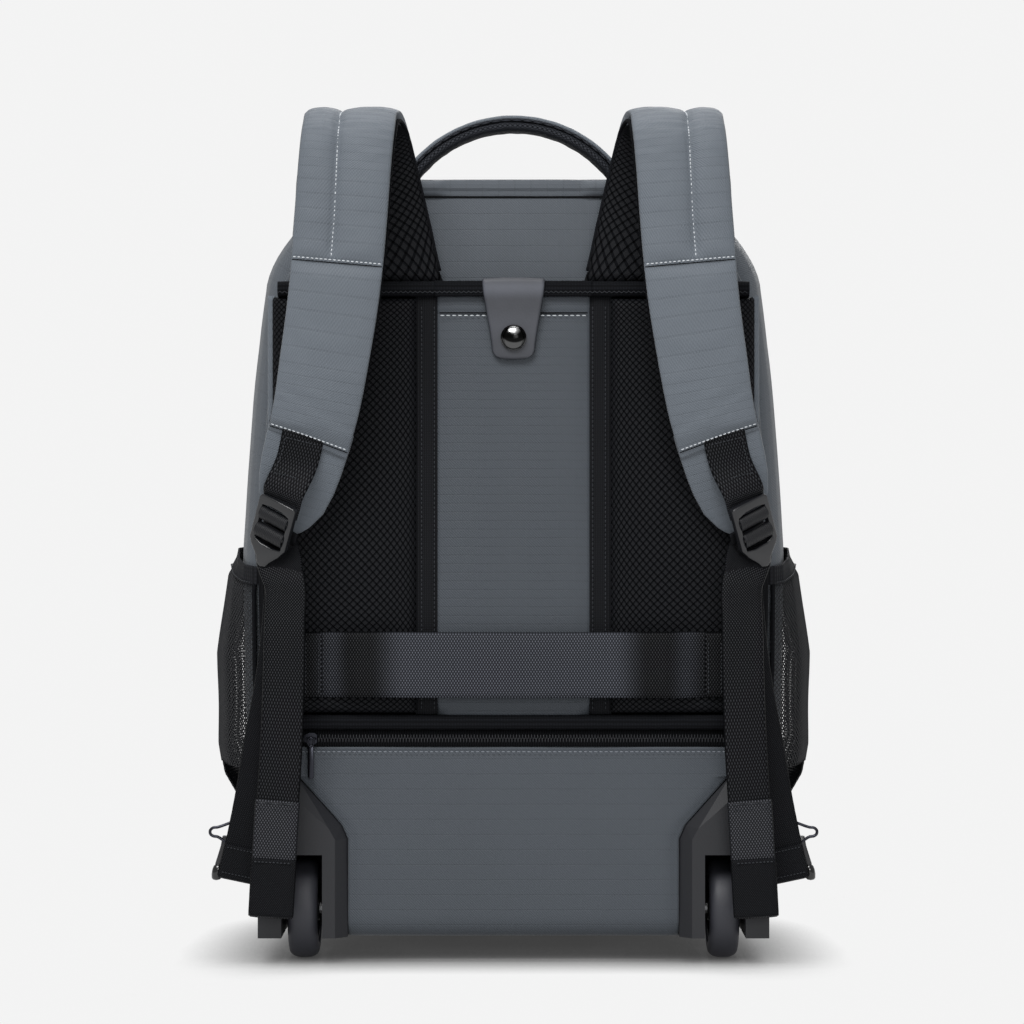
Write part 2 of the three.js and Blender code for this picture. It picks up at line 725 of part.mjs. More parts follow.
function buildLowerPocket() {
  const hollow = lowerPocketSolid(BAG_WALL, -FAR, LOWER_POCKET_TOP + FAR);
  const shell = lowerPocketSolid(0, GAP, LOWER_POCKET_TOP).subtract(hollow);
  const room = housingPrism(GAP, -FAR, FAR);
  add('lower_pocket', surface(shell.subtract(solid(room)).subtract(solid(mirrored(room)))), DARK_FABRIC);
  const zipLow = LOWER_POCKET_TOP + GAP;
  const zipHigh = PAD_BOTTOM - GAP - BINDING_HEIGHT - GAP;
  const zipOuter = -LOWER_POCKET_DEPTH;
  const zipHalf = LOWER_ZIP_HALF_LENGTH;
  const zip = block(-zipHalf, zipHalf, zipOuter, zipOuter + BAG_WALL, zipLow, zipHigh);
  add('lower_zip', zip, BLACK_TRIM);
  const x = -LOWER_ZIP_HALF_LENGTH + 17;
  const place = (geometry) => geometry.translate(x, zipOuter - GAP, (zipLow + zipHigh) / 2);
  add('lower_zip_slider', place(sliderBody()), GUNMETAL);
  add('lower_zip_pull', place(pullTab().translate(0, -SLIDER_THICK - GAP, 0)), GUNMETAL);
}

// Wheels: the well is open to the back and below, and a cheek on each side carries the axle

const wellHalf = WHEEL_WIDTH / 2 + WELL_SIDE_ROOM;

function wellSolid(grow) {
  const radius = WHEEL_RADIUS + WELL_RADIUS_ROOM + grow;
  const roof = arc(WHEEL_Y, WHEEL_RADIUS, radius, radius, 0, 90, 8);
  const outline = [[-FAR, -FAR], [WHEEL_Y + radius, -FAR], ...roof, [-FAR, WHEEL_RADIUS + radius]];
  return solid(prismX(outline, -WHEEL_X - wellHalf - grow, -WHEEL_X + wellHalf + grow));
}

function housingEnvelope(shrink) {
  const lip = block(
    -HOUSING_OUTER_X + shrink,
    0,
    -HOUSING_PROUD + shrink,
    HOUSING_PROUD,
    BAG_BOTTOM - 1 + shrink,
    HOUSING_TOP - shrink,
  );
  return bagSolid(shrink - HOUSING_SKIN).add(solid(lip));
}

function buildWheels() {
  const slope = [-HOUSING_LIP, 0, 0].map((grow, i) => {
    const y = [-HOUSING_PROUD, -HOUSING_PROUD + HOUSING_LIP, HOUSING_DEPTH][i];
    return housingOutline(grow).map(([x, z]) => new THREE.Vector3(x, y, z));
  });
  const outside = solid(loft(slope)).intersect(housingEnvelope(0));
  const inside = solid(housingPrism(-HOUSING_WALL, -HOUSING_PROUD + HOUSING_LIP, HOUSING_DEPTH + FAR));
  const hollow = inside.intersect(housingEnvelope(HOUSING_WALL)).subtract(wellSolid(HOUSING_WALL));
  const bored = AXLE_RADIUS + GAP;
  const boreGeometry = new THREE.CylinderGeometry(bored, bored, 2 * wellHalf + 4 * HOUSING_WALL, 12);
  const bore = solid(boreGeometry.rotateZ(Math.PI / 2).translate(-WHEEL_X, WHEEL_Y, WHEEL_RADIUS));
  const housing = outside.subtract(hollow).subtract(wellSolid(0)).subtract(bore);
  addPair('wheel_housing', surface(housing), PLASTIC);

  const place = (geometry) => geometry.rotateZ(Math.PI / 2).translate(-WHEEL_X, WHEEL_Y, WHEEL_RADIUS);
  const profile = (rows) => rows.map(([r, x]) => new THREE.Vector2(r, x));
  const half = WHEEL_WIDTH / 2;
  const rim = WHEEL_RADIUS - TYRE_THICK;
  const mirroredRows = (rows) => [...rows, ...rows.map(([r, x]) => [r, -x]).reverse(), rows[0]];
  const tyre = profile(mirroredRows([
    [rim, -half],
    [WHEEL_RADIUS - 5, -half],
    [WHEEL_RADIUS - 1.5, -half + 2.5],
    [WHEEL_RADIUS, -half + 6],
  ]));
  addPair('tyre', place(new THREE.LatheGeometry(tyre, 20)), TYRE);
  const hubRim = rim - GAP;
  const hub = profile(mirroredRows([
    [bored, -half],
    [bored + 4, -half],
    [bored + 5, -half + 3],
    [hubRim - 4, -half + 4],
    [hubRim - 3, -half + 1],
    [hubRim, -half + 1],
  ]));
  addPair('hub', place(new THREE.LatheGeometry(hub, 10)), PLASTIC);
  const pinEnd = wellHalf + HOUSING_WALL + GAP;
  const headEnd = pinEnd + AXLE_HEAD_THICK;
  const axle = profile([
    [0, -headEnd],
    [AXLE_HEAD_RADIUS, -headEnd],
    [AXLE_HEAD_RADIUS, -pinEnd],
    [AXLE_RADIUS, -pinEnd],
    [AXLE_RADIUS, pinEnd],
    [AXLE_HEAD_RADIUS, pinEnd],
    [AXLE_HEAD_RADIUS, headEnd],
    [0, headEnd],
  ]);
  addPair('axle', place(new THREE.LatheGeometry(axle, 10)), STEEL);
}

function buildBase() {
  const top = BAG_BOTTOM - GAP;
  const front = BAG_DEPTH - BASE_FRONT_MARGIN;
  const outline = roundedOutline(-BASE_HALF_WIDTH, BASE_HALF_WIDTH, BASE_FRONT_MARGIN, front, 12);
  const shape = new THREE.Shape(outline.map(([x, y]) => new THREE.Vector2(x, y)));
  const plate = new THREE.ExtrudeGeometry(shape, { depth: BASE_THICK, bevelEnabled: false });
  add('base_plate', plate.translate(0, 0, top - BASE_THICK), PLASTIC);
  const footTop = top - BASE_THICK - GAP;
  const y = BAG_DEPTH - FOOT_FROM_FRONT;
  const rings = [[0, 2], [2, 0], [footTop, 0]].map(([z, inset]) => roundedOutline(
    -FOOT_X - FOOT_WIDTH / 2 + inset,
    -FOOT_X + FOOT_WIDTH / 2 - inset,
    y - FOOT_DEPTH / 2 + inset,
    y + FOOT_DEPTH / 2 - inset,
    6,
  ).map(([px, py]) => new THREE.Vector3(px, py, z)));
  addPair('foot', loft(rings), PLASTIC);
}

// Net pockets: the bulge by share of the height
const NET_PROFILE = [
  { height: 0, bulge: 0 },
  { height: 0.06, bulge: 0.5 },
  { height: 0.13, bulge: 0.85 },
  { height: 0.25, bulge: 1.03 },
  { height: 0.6, bulge: 0.97 },
  { height: 0.9, bulge: 0.5 },
  { height: 0.94, bulge: 0.25 },
  { height: 0.97, bulge: 0.08 },
  { height: 1, bulge: 0.04 },
];
const ELASTIC_ROWS = NET_PROFILE.slice(-3);

const NET_TURN_BACK = 62;
const NET_TURN_FRONT = 20;

function netTop(u) {
  return NET_TOP + NET_RIM_RISE * THREE.MathUtils.smoothstep(u, 0, 0.35);
}

function netPoint(u, z, extra) {
  const y = NET_START_Y + (NET_END_Y - NET_START_Y) * u;
  const turnBack = NET_TURN_BACK * (1 - THREE.MathUtils.smoothstep(u, 0, 0.3));
  const turn = THREE.MathUtils.degToRad(turnBack - NET_TURN_FRONT * THREE.MathUtils.smoothstep(u, 0.7, 1));
  const share = (z - NET_BOTTOM) / (netTop(u) - NET_BOTTOM);
  const bulge = NET_BULGE * Math.max(Math.sin(Math.PI * u), 0) ** 0.7;
  const out = bulge * readTable(NET_PROFILE, 'height', share, 'bulge') + extra;
  return new THREE.Vector3(-bagSideX(y, z) - Math.cos(turn) * out, y - Math.sin(turn) * out, z);
}

function buildSidePockets() {
  const rows = NET_PROFILE.length - 1;
  const net = clothWall(9, rows, (u, v) => {
    const z = NET_BOTTOM + (netTop(u) - NET_BOTTOM) * NET_PROFILE[Math.round(v * rows)].height;
    return [netPoint(u, z, GAP + NET_WALL), netPoint(u, z, GAP)];
  });
  const housing = solid(housingPrism(2 * GAP, -FAR, HOUSING_DEPTH + GAP)).intersect(housingEnvelope(-GAP));
  addPair('side_pocket', surface(solid(net).subtract(bagGrown).subtract(housing)), BLACK_NET);
  const elastic = clothWall(9, 2, (u, v) => {
    const z = NET_BOTTOM + (netTop(u) - NET_BOTTOM) * ELASTIC_ROWS[Math.round(v * 2)].height;
    const seat = 2 * GAP + NET_WALL;
    return [netPoint(u, z, seat + ELASTIC_THICK), netPoint(u, z, seat)];
  });
  addPair('pocket_elastic', surface(solid(elastic).subtract(bagGrown)), BLACK_TRIM);
}

// Carry handle: an arc over the top, grey above and mesh padding below
function buildCarryHandle() {
  const rise = HANDLE_RISE;
  const radius = (HANDLE_HALF_SPAN ** 2 + rise ** 2) / (2 * rise);
  const centreZ = BAG_TOP - 1 + rise - radius;
  const sweep = 2 * Math.atan(rise / HANDLE_HALF_SPAN) + 0.06;
  const curve = new THREE.Curve();
  curve.getPoint = (t, target = new THREE.Vector3()) => {
    const angle = sweep * (2 * t - 1);
    return target.set(radius * Math.sin(angle), HANDLE_Y, centreZ + radius * Math.cos(angle));
  };
  const bar = (inner, outer, width) => {
    const rings = [];
    for (let i = 0; i <= 14; i += 1) {
      const centre = curve.getPoint(i / 14);
      const up = new THREE.Vector3(centre.x, 0, centre.z - centreZ).normalize();
      rings.push([...Array(8).keys()].map((k) => {
        const angle = (2 * Math.PI * (k + 0.5)) / 8;
        const soft = (value) => Math.sign(value) * Math.abs(value) ** 0.55;
        const out = (inner + outer) / 2 + (soft(Math.sin(angle)) * (outer - inner)) / 2;
        return centre.clone().addScaledVector(up, out).setY(HANDLE_Y + (soft(Math.cos(angle)) * width) / 2);
      }));
    }
    return surface(solid(loft(rings)).subtract(bagGrown));
  };
  const seam = -HANDLE_THICK / 2;
  add('carry_handle', bar(seam, 0, HANDLE_WIDTH), GREY_FABRIC);
  const meshLow = seam - GAP - HANDLE_MESH_THICK - HANDLE_THICK / 2;
  add('carry_handle_mesh', bar(meshLow, seam - GAP, HANDLE_WIDTH - 2), AIR_MESH);
}

// Shoulder straps. The rear run rises from the binding, the front run comes down before the pads.
// height and drop are shares of the strap's heights, off of its stand-off, across of its sideways run.
const STRAP_ROOT_X = 77;
const STRAP_FRONT_X = 106;
const STRAP_HEM_X = 133;
const STRAP_REAR = [
  { height: 0, off: 0.12, across: 0 },
  { height: 0.35, off: 0.12, across: 0.3 },
  { height: 0.6, off: 0.13, across: 0.52 },
  { height: 0.78, off: 0.165, across: 0.68 },
  { height: 0.912, off: 0.26, across: 0.8 },
  { height: 0.977, off: 0.4, across: 0.88 },
  { height: 1, off: 0.56, across: 0.94 },
];
const STRAP_FRONT = [
  { drop: 0.011, off: 0.73, across: 0 },
  { drop: 0.042, off: 0.87, across: 0.02 },
  { drop: 0.09, off: 0.96, across: 0.06 },
  { drop: 0.18, off: 1, across: 0.12 },
  { drop: 0.35, off: 1, across: 0.22 },
  { drop: 0.56, off: 0.99, across: 0.37 },
  { drop: 0.78, off: 0.95, across: 0.63 },
  { drop: 0.9, off: 0.9, across: 0.8 },
  { drop: 1, off: 0.84, across: 1 },
];
const STRAP_WIDTHS = [
  { share: 0, width: 1.03 },
  { share: 0.5, width: 1 },
  { share: 0.75, width: 1 },
  { share: 1, width: 0.9 },
];
const STRAP_STEPS = 15;
const STRAP_ROOT_Z = PAD_TOP + GAP + BINDING_HEIGHT + GAP;
const STRAP_ROOT_TUCK = 9;

function strapCurve() {
  const rear = STRAP_REAR.map((row) => ({
    out: STRAP_ROOT_X + (STRAP_FRONT_X - STRAP_ROOT_X) * row.across,
    off: STRAP_STAND_OFF * row.off,
    z: STRAP_ROOT_Z - STRAP_ROOT_TUCK + (STRAP_TOP_Z - STRAP_ROOT_Z + STRAP_ROOT_TUCK) * row.height,
  }));
  const front = STRAP_FRONT.map((row) => ({
    out: STRAP_FRONT_X + (STRAP_HEM_X - STRAP_FRONT_X) * row.across,
    off: STRAP_STAND_OFF * row.off,
    z: STRAP_TOP_Z - (STRAP_TOP_Z - STRAP_HEM_Z) * row.drop,
  }));
  return route([...rear, ...front]);
}

// The flap under the webbing narrows to its tip
const TONGUE_LENGTH = 62;
const TONGUE_FALL = 0.186;
const TONGUE_SHAPE = [
  { along: 0, width: 1 },
  { along: 0.5, width: 0.95 },
  { along: 0.72, width: 0.84 },
  { along: 0.88, width: 0.6 },
  { along: 1, width: 0.3 },
];

// The webbing's free end and the anchor webbing below the lock: drop is a share of the height from the lock
// to the end, across of the sideways run, near of the way from the end's distance to the lock's
const TAIL_RUN = [
  { drop: 0.2, across: 0, in: -3 },
  { drop: 0.43, across: 0.06, in: 0 },
  { drop: 0.68, across: 0.4, in: 3 },
  { drop: 1, across: 1, in: 3 },
];
const ANCHOR_RUN = [
  { drop: 0.1, across: 0.01, near: 0.95 },
  { drop: 0.27, across: 0.05, near: 0.7 },
  { drop: 0.595, across: 0.45, near: 0.2 },
  { drop: 0.81, across: 0.69, near: 0 },
  { drop: 1, across: 1, near: 0 },
];

function buildStraps() {
  const curve = strapCurve();
  const widthAt = (share) => STRAP_WIDTH * readTable(STRAP_WIDTHS, 'share', share, 'width');
  const total = STRAP_THICK + STRAP_SEAM_GAP + STRAP_MESH_THICK;
  const seam = -total / 2 + STRAP_MESH_THICK;
  const belowRoot = solid(block(-FAR, 0, -STRAP_STAND_OFF / 2, FAR, 0, STRAP_ROOT_Z));
  const grey = solid(paddedStrap(curve, STRAP_STEPS, widthAt, seam + STRAP_SEAM_GAP, total / 2));
  const mesh = solid(paddedStrap(curve, STRAP_STEPS, (share) => widthAt(share) - 2, -total / 2, seam));
  addPair('shoulder_strap', surface(grey.subtract(belowRoot)), GREY_FABRIC);
  addPair('strap_mesh', surface(mesh.subtract(belowRoot)), AIR_MESH);

  const hem = strapFrame(curve, 1);
  const tongueWidth = widthAt(1);
  const tongueCentre = (v) => {
    const hang = new THREE.Vector3(0, STRAP_STAND_OFF * TONGUE_FALL * v ** 1.3, 0);
    return hem.centre.clone().addScaledVector(hem.along, GAP + TONGUE_LENGTH * v).add(hang);
  };
  addPair('strap_tongue', clothWall(4, 6, (u, v) => {
    const across = (u - 0.5) * tongueWidth * readTable(TONGUE_SHAPE, 'along', v, 'width');
    const centre = tongueCentre(v).addScaledVector(hem.side, across);
    const outer = centre.clone().addScaledVector(hem.face, TONGUE_THICK / 2);
    return [outer, centre.addScaledVector(hem.face, -TONGUE_THICK / 2)];
  }), GREY_FABRIC);

  // The lock hangs before the tip of the flap, and the webbing runs to it from the hem
  const webOut = TONGUE_THICK / 2 + 3 * GAP + WEB_THICK / 2;
  const lockOut = TONGUE_THICK / 2 + WEB_THICK * 2 + GAP * 9 + LOCK_THICK;
  const lockAt = tongueCentre(0.86).addScaledVector(hem.face, lockOut);
  lockAt.x -= LOCK_OUTWARD;
  const leanAngle = THREE.MathUtils.degToRad(LOCK_LEAN);
  const down = new THREE.Vector3(-Math.sin(leanAngle), 0, -Math.cos(leanAngle));
  const lockTop = lockAt.clone().addScaledVector(down, -LOCK_LENGTH / 2 - GAP);
  const start = tongueCentre(0.02).addScaledVector(hem.face, webOut);
  const middle = tongueCentre(0.26).addScaledVector(hem.face, webOut + GAP);
  const aboveLock = lockTop.clone().addScaledVector(down, -LOCK_RIM);
  const upper = new THREE.CatmullRomCurve3([start, middle, aboveLock, lockTop], false, 'centripetal');
  addPair('upper_webbing', webbing(upper, 8, WEB_WIDTH, -WEB_THICK / 2, WEB_THICK / 2), WEBBING);

  const frameOutline = (half, low, high, radius) => roundedOutline(-half, half, low, high, radius)
    .map(([x, z]) => new THREE.Vector2(x, z));
  const lockShape = new THREE.Shape([
    ...arc(LOCK_WIDTH / 2 - 4, LOCK_LENGTH / 2 - 4, 4, 4, 0, 90, 3),
    ...arc(4 - LOCK_WIDTH / 2, LOCK_LENGTH / 2 - 4, 4, 4, 90, 180, 3),
    [-LOCK_WIDTH / 2, -LOCK_LENGTH / 2 + 2],
    ...arc(-LOCK_WIDTH * 0.18, -LOCK_LENGTH / 2 - LOCK_TAB + 5, 5, 5, 180, 270, 3),
    ...arc(LOCK_WIDTH * 0.18, -LOCK_LENGTH / 2 - LOCK_TAB + 5, 5, 5, 270, 360, 3),
    [LOCK_WIDTH / 2, -LOCK_LENGTH / 2 + 2],
  ].map(([x, z]) => new THREE.Vector2(x, z)));
  const windowHalf = LOCK_WIDTH / 2 - LOCK_RIM;
  const slotHeight = (LOCK_LENGTH - 2 * LOCK_RIM - 2 * LOCK_BAR) / 3;
  for (let i = 0; i < 3; i += 1) {
    const low = -LOCK_LENGTH / 2 + LOCK_RIM + i * (slotHeight + LOCK_BAR);
    lockShape.holes.push(new THREE.Path(frameOutline(windowHalf, low, low + slotHeight, 1)));
  }
  const lock = new THREE.ExtrudeGeometry(lockShape, { depth: LOCK_THICK, bevelEnabled: false });
  lock.translate(0, 0, -LOCK_THICK / 2).rotateX(Math.PI / 2).rotateY(leanAngle);
  lock.translate(lockAt.x, lockAt.y, lockAt.z);
  addPair('ladder_lock', bare(lock), PLASTIC);

  // The free end hangs behind the lock's frame and down, folded at its end; the anchor webbing is behind it
  const behindLock = -lockAt.y - LOCK_THICK / 2 - 2 * GAP - WEB_THICK / 2;
  const tail = route([
    { out: -lockAt.x - 1, off: behindLock, z: lockAt.z + LOCK_LENGTH * 0.3 },
    { out: -lockAt.x + 3, off: behindLock, z: lockAt.z - LOCK_LENGTH * 0.5 },
    ...TAIL_RUN.map((row) => ({
      out: TAIL_HIGH_X + (TAIL_END_X - TAIL_HIGH_X) * row.across,
      off: behindLock - GAP * row.in,
      z: lockAt.z + (TAIL_END_Z - lockAt.z) * row.drop,
    })),
  ]);
  const tailFrom = -WEB_THICK / 2;
  const tailPiece = solid(webbing(tail, 12, WEB_WIDTH + 1, tailFrom, WEB_THICK / 2));
  const tailLength = tail.getLength();
  const foldFrom = 1 - TAIL_FOLD / tailLength;
  const fold = solid(webbing(tail, 3, WEB_WIDTH + 1, 0, WEB_THICK * 1.5, foldFrom, 1));
  addPair('webbing_tail', surface(tailPiece.add(fold)), WEBBING);

  const behindTail = behindLock - WEB_THICK - GAP;
  const restOff = HOUSING_PROUD + GAP + WEB_THICK / 2;
  const anchor = route([
    { out: -lockAt.x + 1, off: behindTail, z: lockAt.z },
    ...ANCHOR_RUN.map((row) => ({
      out: TAIL_HIGH_X + (ANCHOR_END_X - TAIL_HIGH_X) * row.across,
      off: restOff + (behindTail - restOff) * row.near,
      z: lockAt.z + (ANCHOR_END_Z - lockAt.z) * row.drop,
    })),
  ]);
  addPair('anchor_webbing', webbing(anchor, 12, WEB_WIDTH, -WEB_THICK / 2, WEB_THICK / 2), WEBBING);

  // Hook plate behind the foot of the anchor webbing: a round nub below, a bored lug for the wire ring above
  const hookX = -ANCHOR_END_X - WEB_WIDTH / 2;
  const hookBack = -restOff + WEB_THICK / 2 + GAP;
  const ringZ = ANCHOR_END_Z + HOOK_RING_RISE;
  const lug = 2.5;
  const plate = [
    [hookX + 14, ANCHOR_END_Z + 4],
    [hookX + 14, ringZ - 6],
    [hookX + 2, ringZ - 4],
    ...arc(hookX - 0.5, ringZ, lug, lug + 1, 0, 180, 4),
    [hookX - 5, ANCHOR_END_Z + 12],
    ...arc(hookX - 4, ANCHOR_END_Z + 4, 4.5, 4.5, 150, 290, 6),
  ];
  const ringY = hookBack + HOOK_THICK / 2;
  const boreRadius = RING_WIRE + 2 * GAP;
  const boreGeometry = new THREE.CylinderGeometry(boreRadius, boreRadius, 4 * lug, 8);
  const bore = solid(boreGeometry.rotateZ(Math.PI / 2).translate(hookX - 0.5, ringY, ringZ));
  const hook = solid(prismY(plate, hookBack, hookBack + HOOK_THICK)).subtract(bore);
  addPair('side_hook', surface(hook), PLASTIC);
  const ringPath = new THREE.CatmullRomCurve3([
    [-4, 0], [0, 0], [4, 0], [6.5, 4], [6, 8.5], [0, 10], [-6.5, 8.5], [-6.5, 4],
  ].map(([x, z]) => new THREE.Vector3(x, 0, z)), true, 'centripetal');
  const section = arc(0, 0, RING_WIRE, RING_WIRE, 0, 300, 5);
  const wire = new THREE.Shape(section.map(([x, y]) => new THREE.Vector2(x, y)));
  const ring = new THREE.ExtrudeGeometry(wire, { steps: 13, extrudePath: ringPath, bevelEnabled: false });
  addPair('side_ring', bare(ring).translate(hookX - 0.5, ringY, ringZ), STEEL);
}

// Telescoping handle: outer tubes, a stage and the handle with its grip
const TUBE_SIDES = 10;

function tube(radius, low, high) {
  const geometry = new THREE.CylinderGeometry(radius, radius, high - low, TUBE_SIDES);
  return solid(geometry.rotateX(Math.PI / 2).translate(0, 0, (low + high) / 2));
}

function buildTrolley() {
  const y = -GAP - TROLLEY_TUBE - 0.7;
  const bothSides = (make) => {
    const left = make().translate([-TROLLEY_HALF_SPAN, y, 0]);
    return left.add(make().translate([TROLLEY_HALF_SPAN, y, 0]));
  };
  const low = PAD_BOTTOM + GAP;
  const outerBore = TROLLEY_TUBE - TROLLEY_TUBE_WALL;
  const stageRadius = outerBore - GAP;
  const stageBore = stageRadius - TROLLEY_TUBE_WALL;
  const rodRadius = stageBore - GAP;
  const half = TROLLEY_HALF_SPAN;
  const floorTop = low + TROLLEY_COLLAR;

  const foot = solid(block(-half, half, y - TROLLEY_TUBE * 0.7, y + TROLLEY_TUBE * 0.7, low, floorTop));
  const outer = bothSides(() => tube(TROLLEY_TUBE, low, TROLLEY_TUBE_TOP)).add(foot)
    .subtract(bothSides(() => tube(outerBore, floorTop, TROLLEY_TUBE_TOP + 1)));
  add('trolley_outer', surface(outer), ALUMINIUM);

  const stageLow = floorTop + TROLLEY_END_STEP;
  const collarLow = TROLLEY_TUBE_TOP + GAP;
  const collarHigh = collarLow + TROLLEY_COLLAR;
  const barReach = TROLLEY_TUBE * 0.8;
  const bar = solid(block(-half, half, y - barReach, y + barReach, collarLow, collarHigh));
  const collar = () => tube(TROLLEY_TUBE, collarLow, collarHigh);
  const stageTubes = () => tube(stageRadius, stageLow, collarHigh).add(collar());
  const stage = bothSides(stageTubes).add(bar)
    .subtract(bothSides(() => tube(stageBore, stageLow - 1, collarHigh + 1)));
  add('trolley_stage', surface(stage), ALUMINIUM);

  const gripLow = collarHigh + GAP;
  const gripHalf = half + TROLLEY_TUBE + 1;
  const gripOutline = roundedOutline(-gripHalf, gripHalf, gripLow, gripLow + TROLLEY_GRIP_HEIGHT, 5, 4);
  const grip = solid(prismY(gripOutline, y - TROLLEY_GRIP_DEPTH / 2, y + TROLLEY_GRIP_DEPTH / 2));
  const rodTop = gripLow + TROLLEY_GRIP_HEIGHT / 2;
  const rods = bothSides(() => tube(rodRadius, stageLow + TROLLEY_END_STEP, rodTop));
  add('trolley_handle', surface(rods.add(grip)), PLASTIC);
}

buildBag();
buildMainZipSlider();
buildFrontPocket();
buildPads();
buildCentrePanel();
buildSnapTab();
buildLuggageStrap();
buildLowerPocket();
buildWheels();
buildBase();
buildSidePockets();
buildCarryHandle();
buildStraps();
buildTrolley();

// The origin is the middle of the footprint, at the ground
const bounds = new THREE.Box3().setFromObject(group);
group.position.set(-(bounds.min.x + bounds.max.x) / 2, -(bounds.min.y + bounds.max.y) / 2, -bounds.min.z);

export default group;
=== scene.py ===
"""A wheeled backpack seen from its harness side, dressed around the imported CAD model."""

import math

import bmesh
import bpy
from mathutils import Matrix, Vector, noise

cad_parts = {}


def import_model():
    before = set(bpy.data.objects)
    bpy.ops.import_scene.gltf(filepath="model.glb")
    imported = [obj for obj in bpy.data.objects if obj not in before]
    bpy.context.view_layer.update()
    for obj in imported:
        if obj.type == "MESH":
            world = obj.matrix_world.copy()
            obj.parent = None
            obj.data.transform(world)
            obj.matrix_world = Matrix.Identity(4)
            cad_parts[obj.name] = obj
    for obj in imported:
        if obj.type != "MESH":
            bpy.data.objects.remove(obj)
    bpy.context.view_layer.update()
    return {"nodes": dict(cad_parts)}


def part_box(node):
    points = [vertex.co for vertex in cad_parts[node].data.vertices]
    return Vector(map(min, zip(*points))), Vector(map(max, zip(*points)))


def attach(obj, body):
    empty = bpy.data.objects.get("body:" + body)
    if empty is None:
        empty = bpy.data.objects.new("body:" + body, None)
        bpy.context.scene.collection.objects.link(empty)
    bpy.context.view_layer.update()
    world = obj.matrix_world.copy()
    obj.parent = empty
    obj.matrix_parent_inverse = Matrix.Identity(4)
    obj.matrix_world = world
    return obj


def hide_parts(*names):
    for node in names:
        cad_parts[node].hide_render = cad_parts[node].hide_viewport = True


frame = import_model()

# Places in the CAD frame: x to the right, off is the distance out from the harness wall, z is up, all in mm
MM = 0.001
BACK_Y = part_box("bag_shell")[0][1]


def at(x, off, z):
    return Vector((x * MM, BACK_Y - off * MM, z * MM))


def off_of(y):
    """The distance out from the harness wall, in mm, of a Y in metres."""
    return (BACK_Y - y) / MM


def node_box(name):
    """Lowest and highest x, off and z of a CAD node, in mm."""
    low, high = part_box(name)
    return (low[0] / MM, off_of(high[1]), low[2] / MM), (high[0] / MM, off_of(low[1]), high[2] / MM)


def smooth(value, low, high):
    share = min(max((value - low) / (high - low), 0.0), 1.0)
    return share * share * (3 - 2 * share)


def waver(x, y, z):
    """Smooth noise from -1 to 1 at a place."""
    return noise.noise(Vector((x, y, z)))


def signed(value, power):
    """A power that keeps the sign."""
    return math.copysign(abs(value) ** power, value)


def circle(count, start=0.0):
    """The cosine and sine of evenly spaced directions round a circle."""
    return [(math.cos(2 * math.pi * (k + start) / count), math.sin(2 * math.pi * (k + start) / count))
            for k in range(count)]


def ease(u, share):
    """Draws steps together towards both ends."""
    return 0.5 + 0.5 * math.sin(math.pi * (u - 0.5)) * share + (u - 0.5) * (1 - share)


def table(rows, key, value):
    """Reads rows of (position, value, ...) straight between them."""
    if key <= rows[0][0]:
        return rows[0][value]
    for low, high in zip(rows, rows[1:]):
        if key <= high[0]:
            share = (key - low[0]) / (high[0] - low[0])
            return low[value] + share * (high[value] - low[value])
    return rows[-1][value]


# Meshes

SHARP = 35
WELD = 1e-6
HARNESS_OUT = (0, -1, 0)

def new_object(name, points, faces, uvs=None, material=None):
    mesh = bpy.data.meshes.new(name)
    mesh.from_pydata([tuple(p) for p in points], [], faces)
    if uvs:
        layer = mesh.uv_layers.new(name="weave")
        for loop in mesh.loops:
            layer.data[loop.index].uv = uvs[loop.vertex_index]
    mesh.validate()
    obj = bpy.data.objects.new(name, mesh)
    bpy.context.scene.collection.objects.link(obj)
    for polygon in mesh.polygons:
        polygon.use_smooth = True
    if material:
        mesh.materials.append(material)
    return obj


def face_out(obj, weld=None):
    """Turns the faces of a piece outward, after joining points that lie within weld metres."""
    work = bmesh.new()
    work.from_mesh(obj.data)
    if weld:
        bmesh.ops.remove_doubles(work, verts=work.verts, dist=weld)
    bmesh.ops.recalc_face_normals(work, faces=work.faces)
    work.to_mesh(obj.data)
    work.free()
    return obj


def grid_faces(start, across, along):
    """The faces of a grid of points that are stored row after row."""
    wide = across + 1
    corners = [start + j * wide + i for j in range(along) for i in range(across)]
    return [(a, a + 1, a + wide + 1, a + wide) for a in corners]


def add_rings(points, faces, rings):
    """Adds a closed solid through a few short rings."""
    start, count = len(points), len(rings[0])
    for ring in rings:
        points.extend(ring)
    for row in range(len(rings) - 1):
        for k in range(count):
            a, b = start + row * count + k, start + row * count + (k + 1) % count
            faces.append((a, b, b + count, a + count))
    faces.append(tuple(start + k for k in reversed(range(count))))
    faces.append(tuple(len(points) - count + k for k in range(count)))


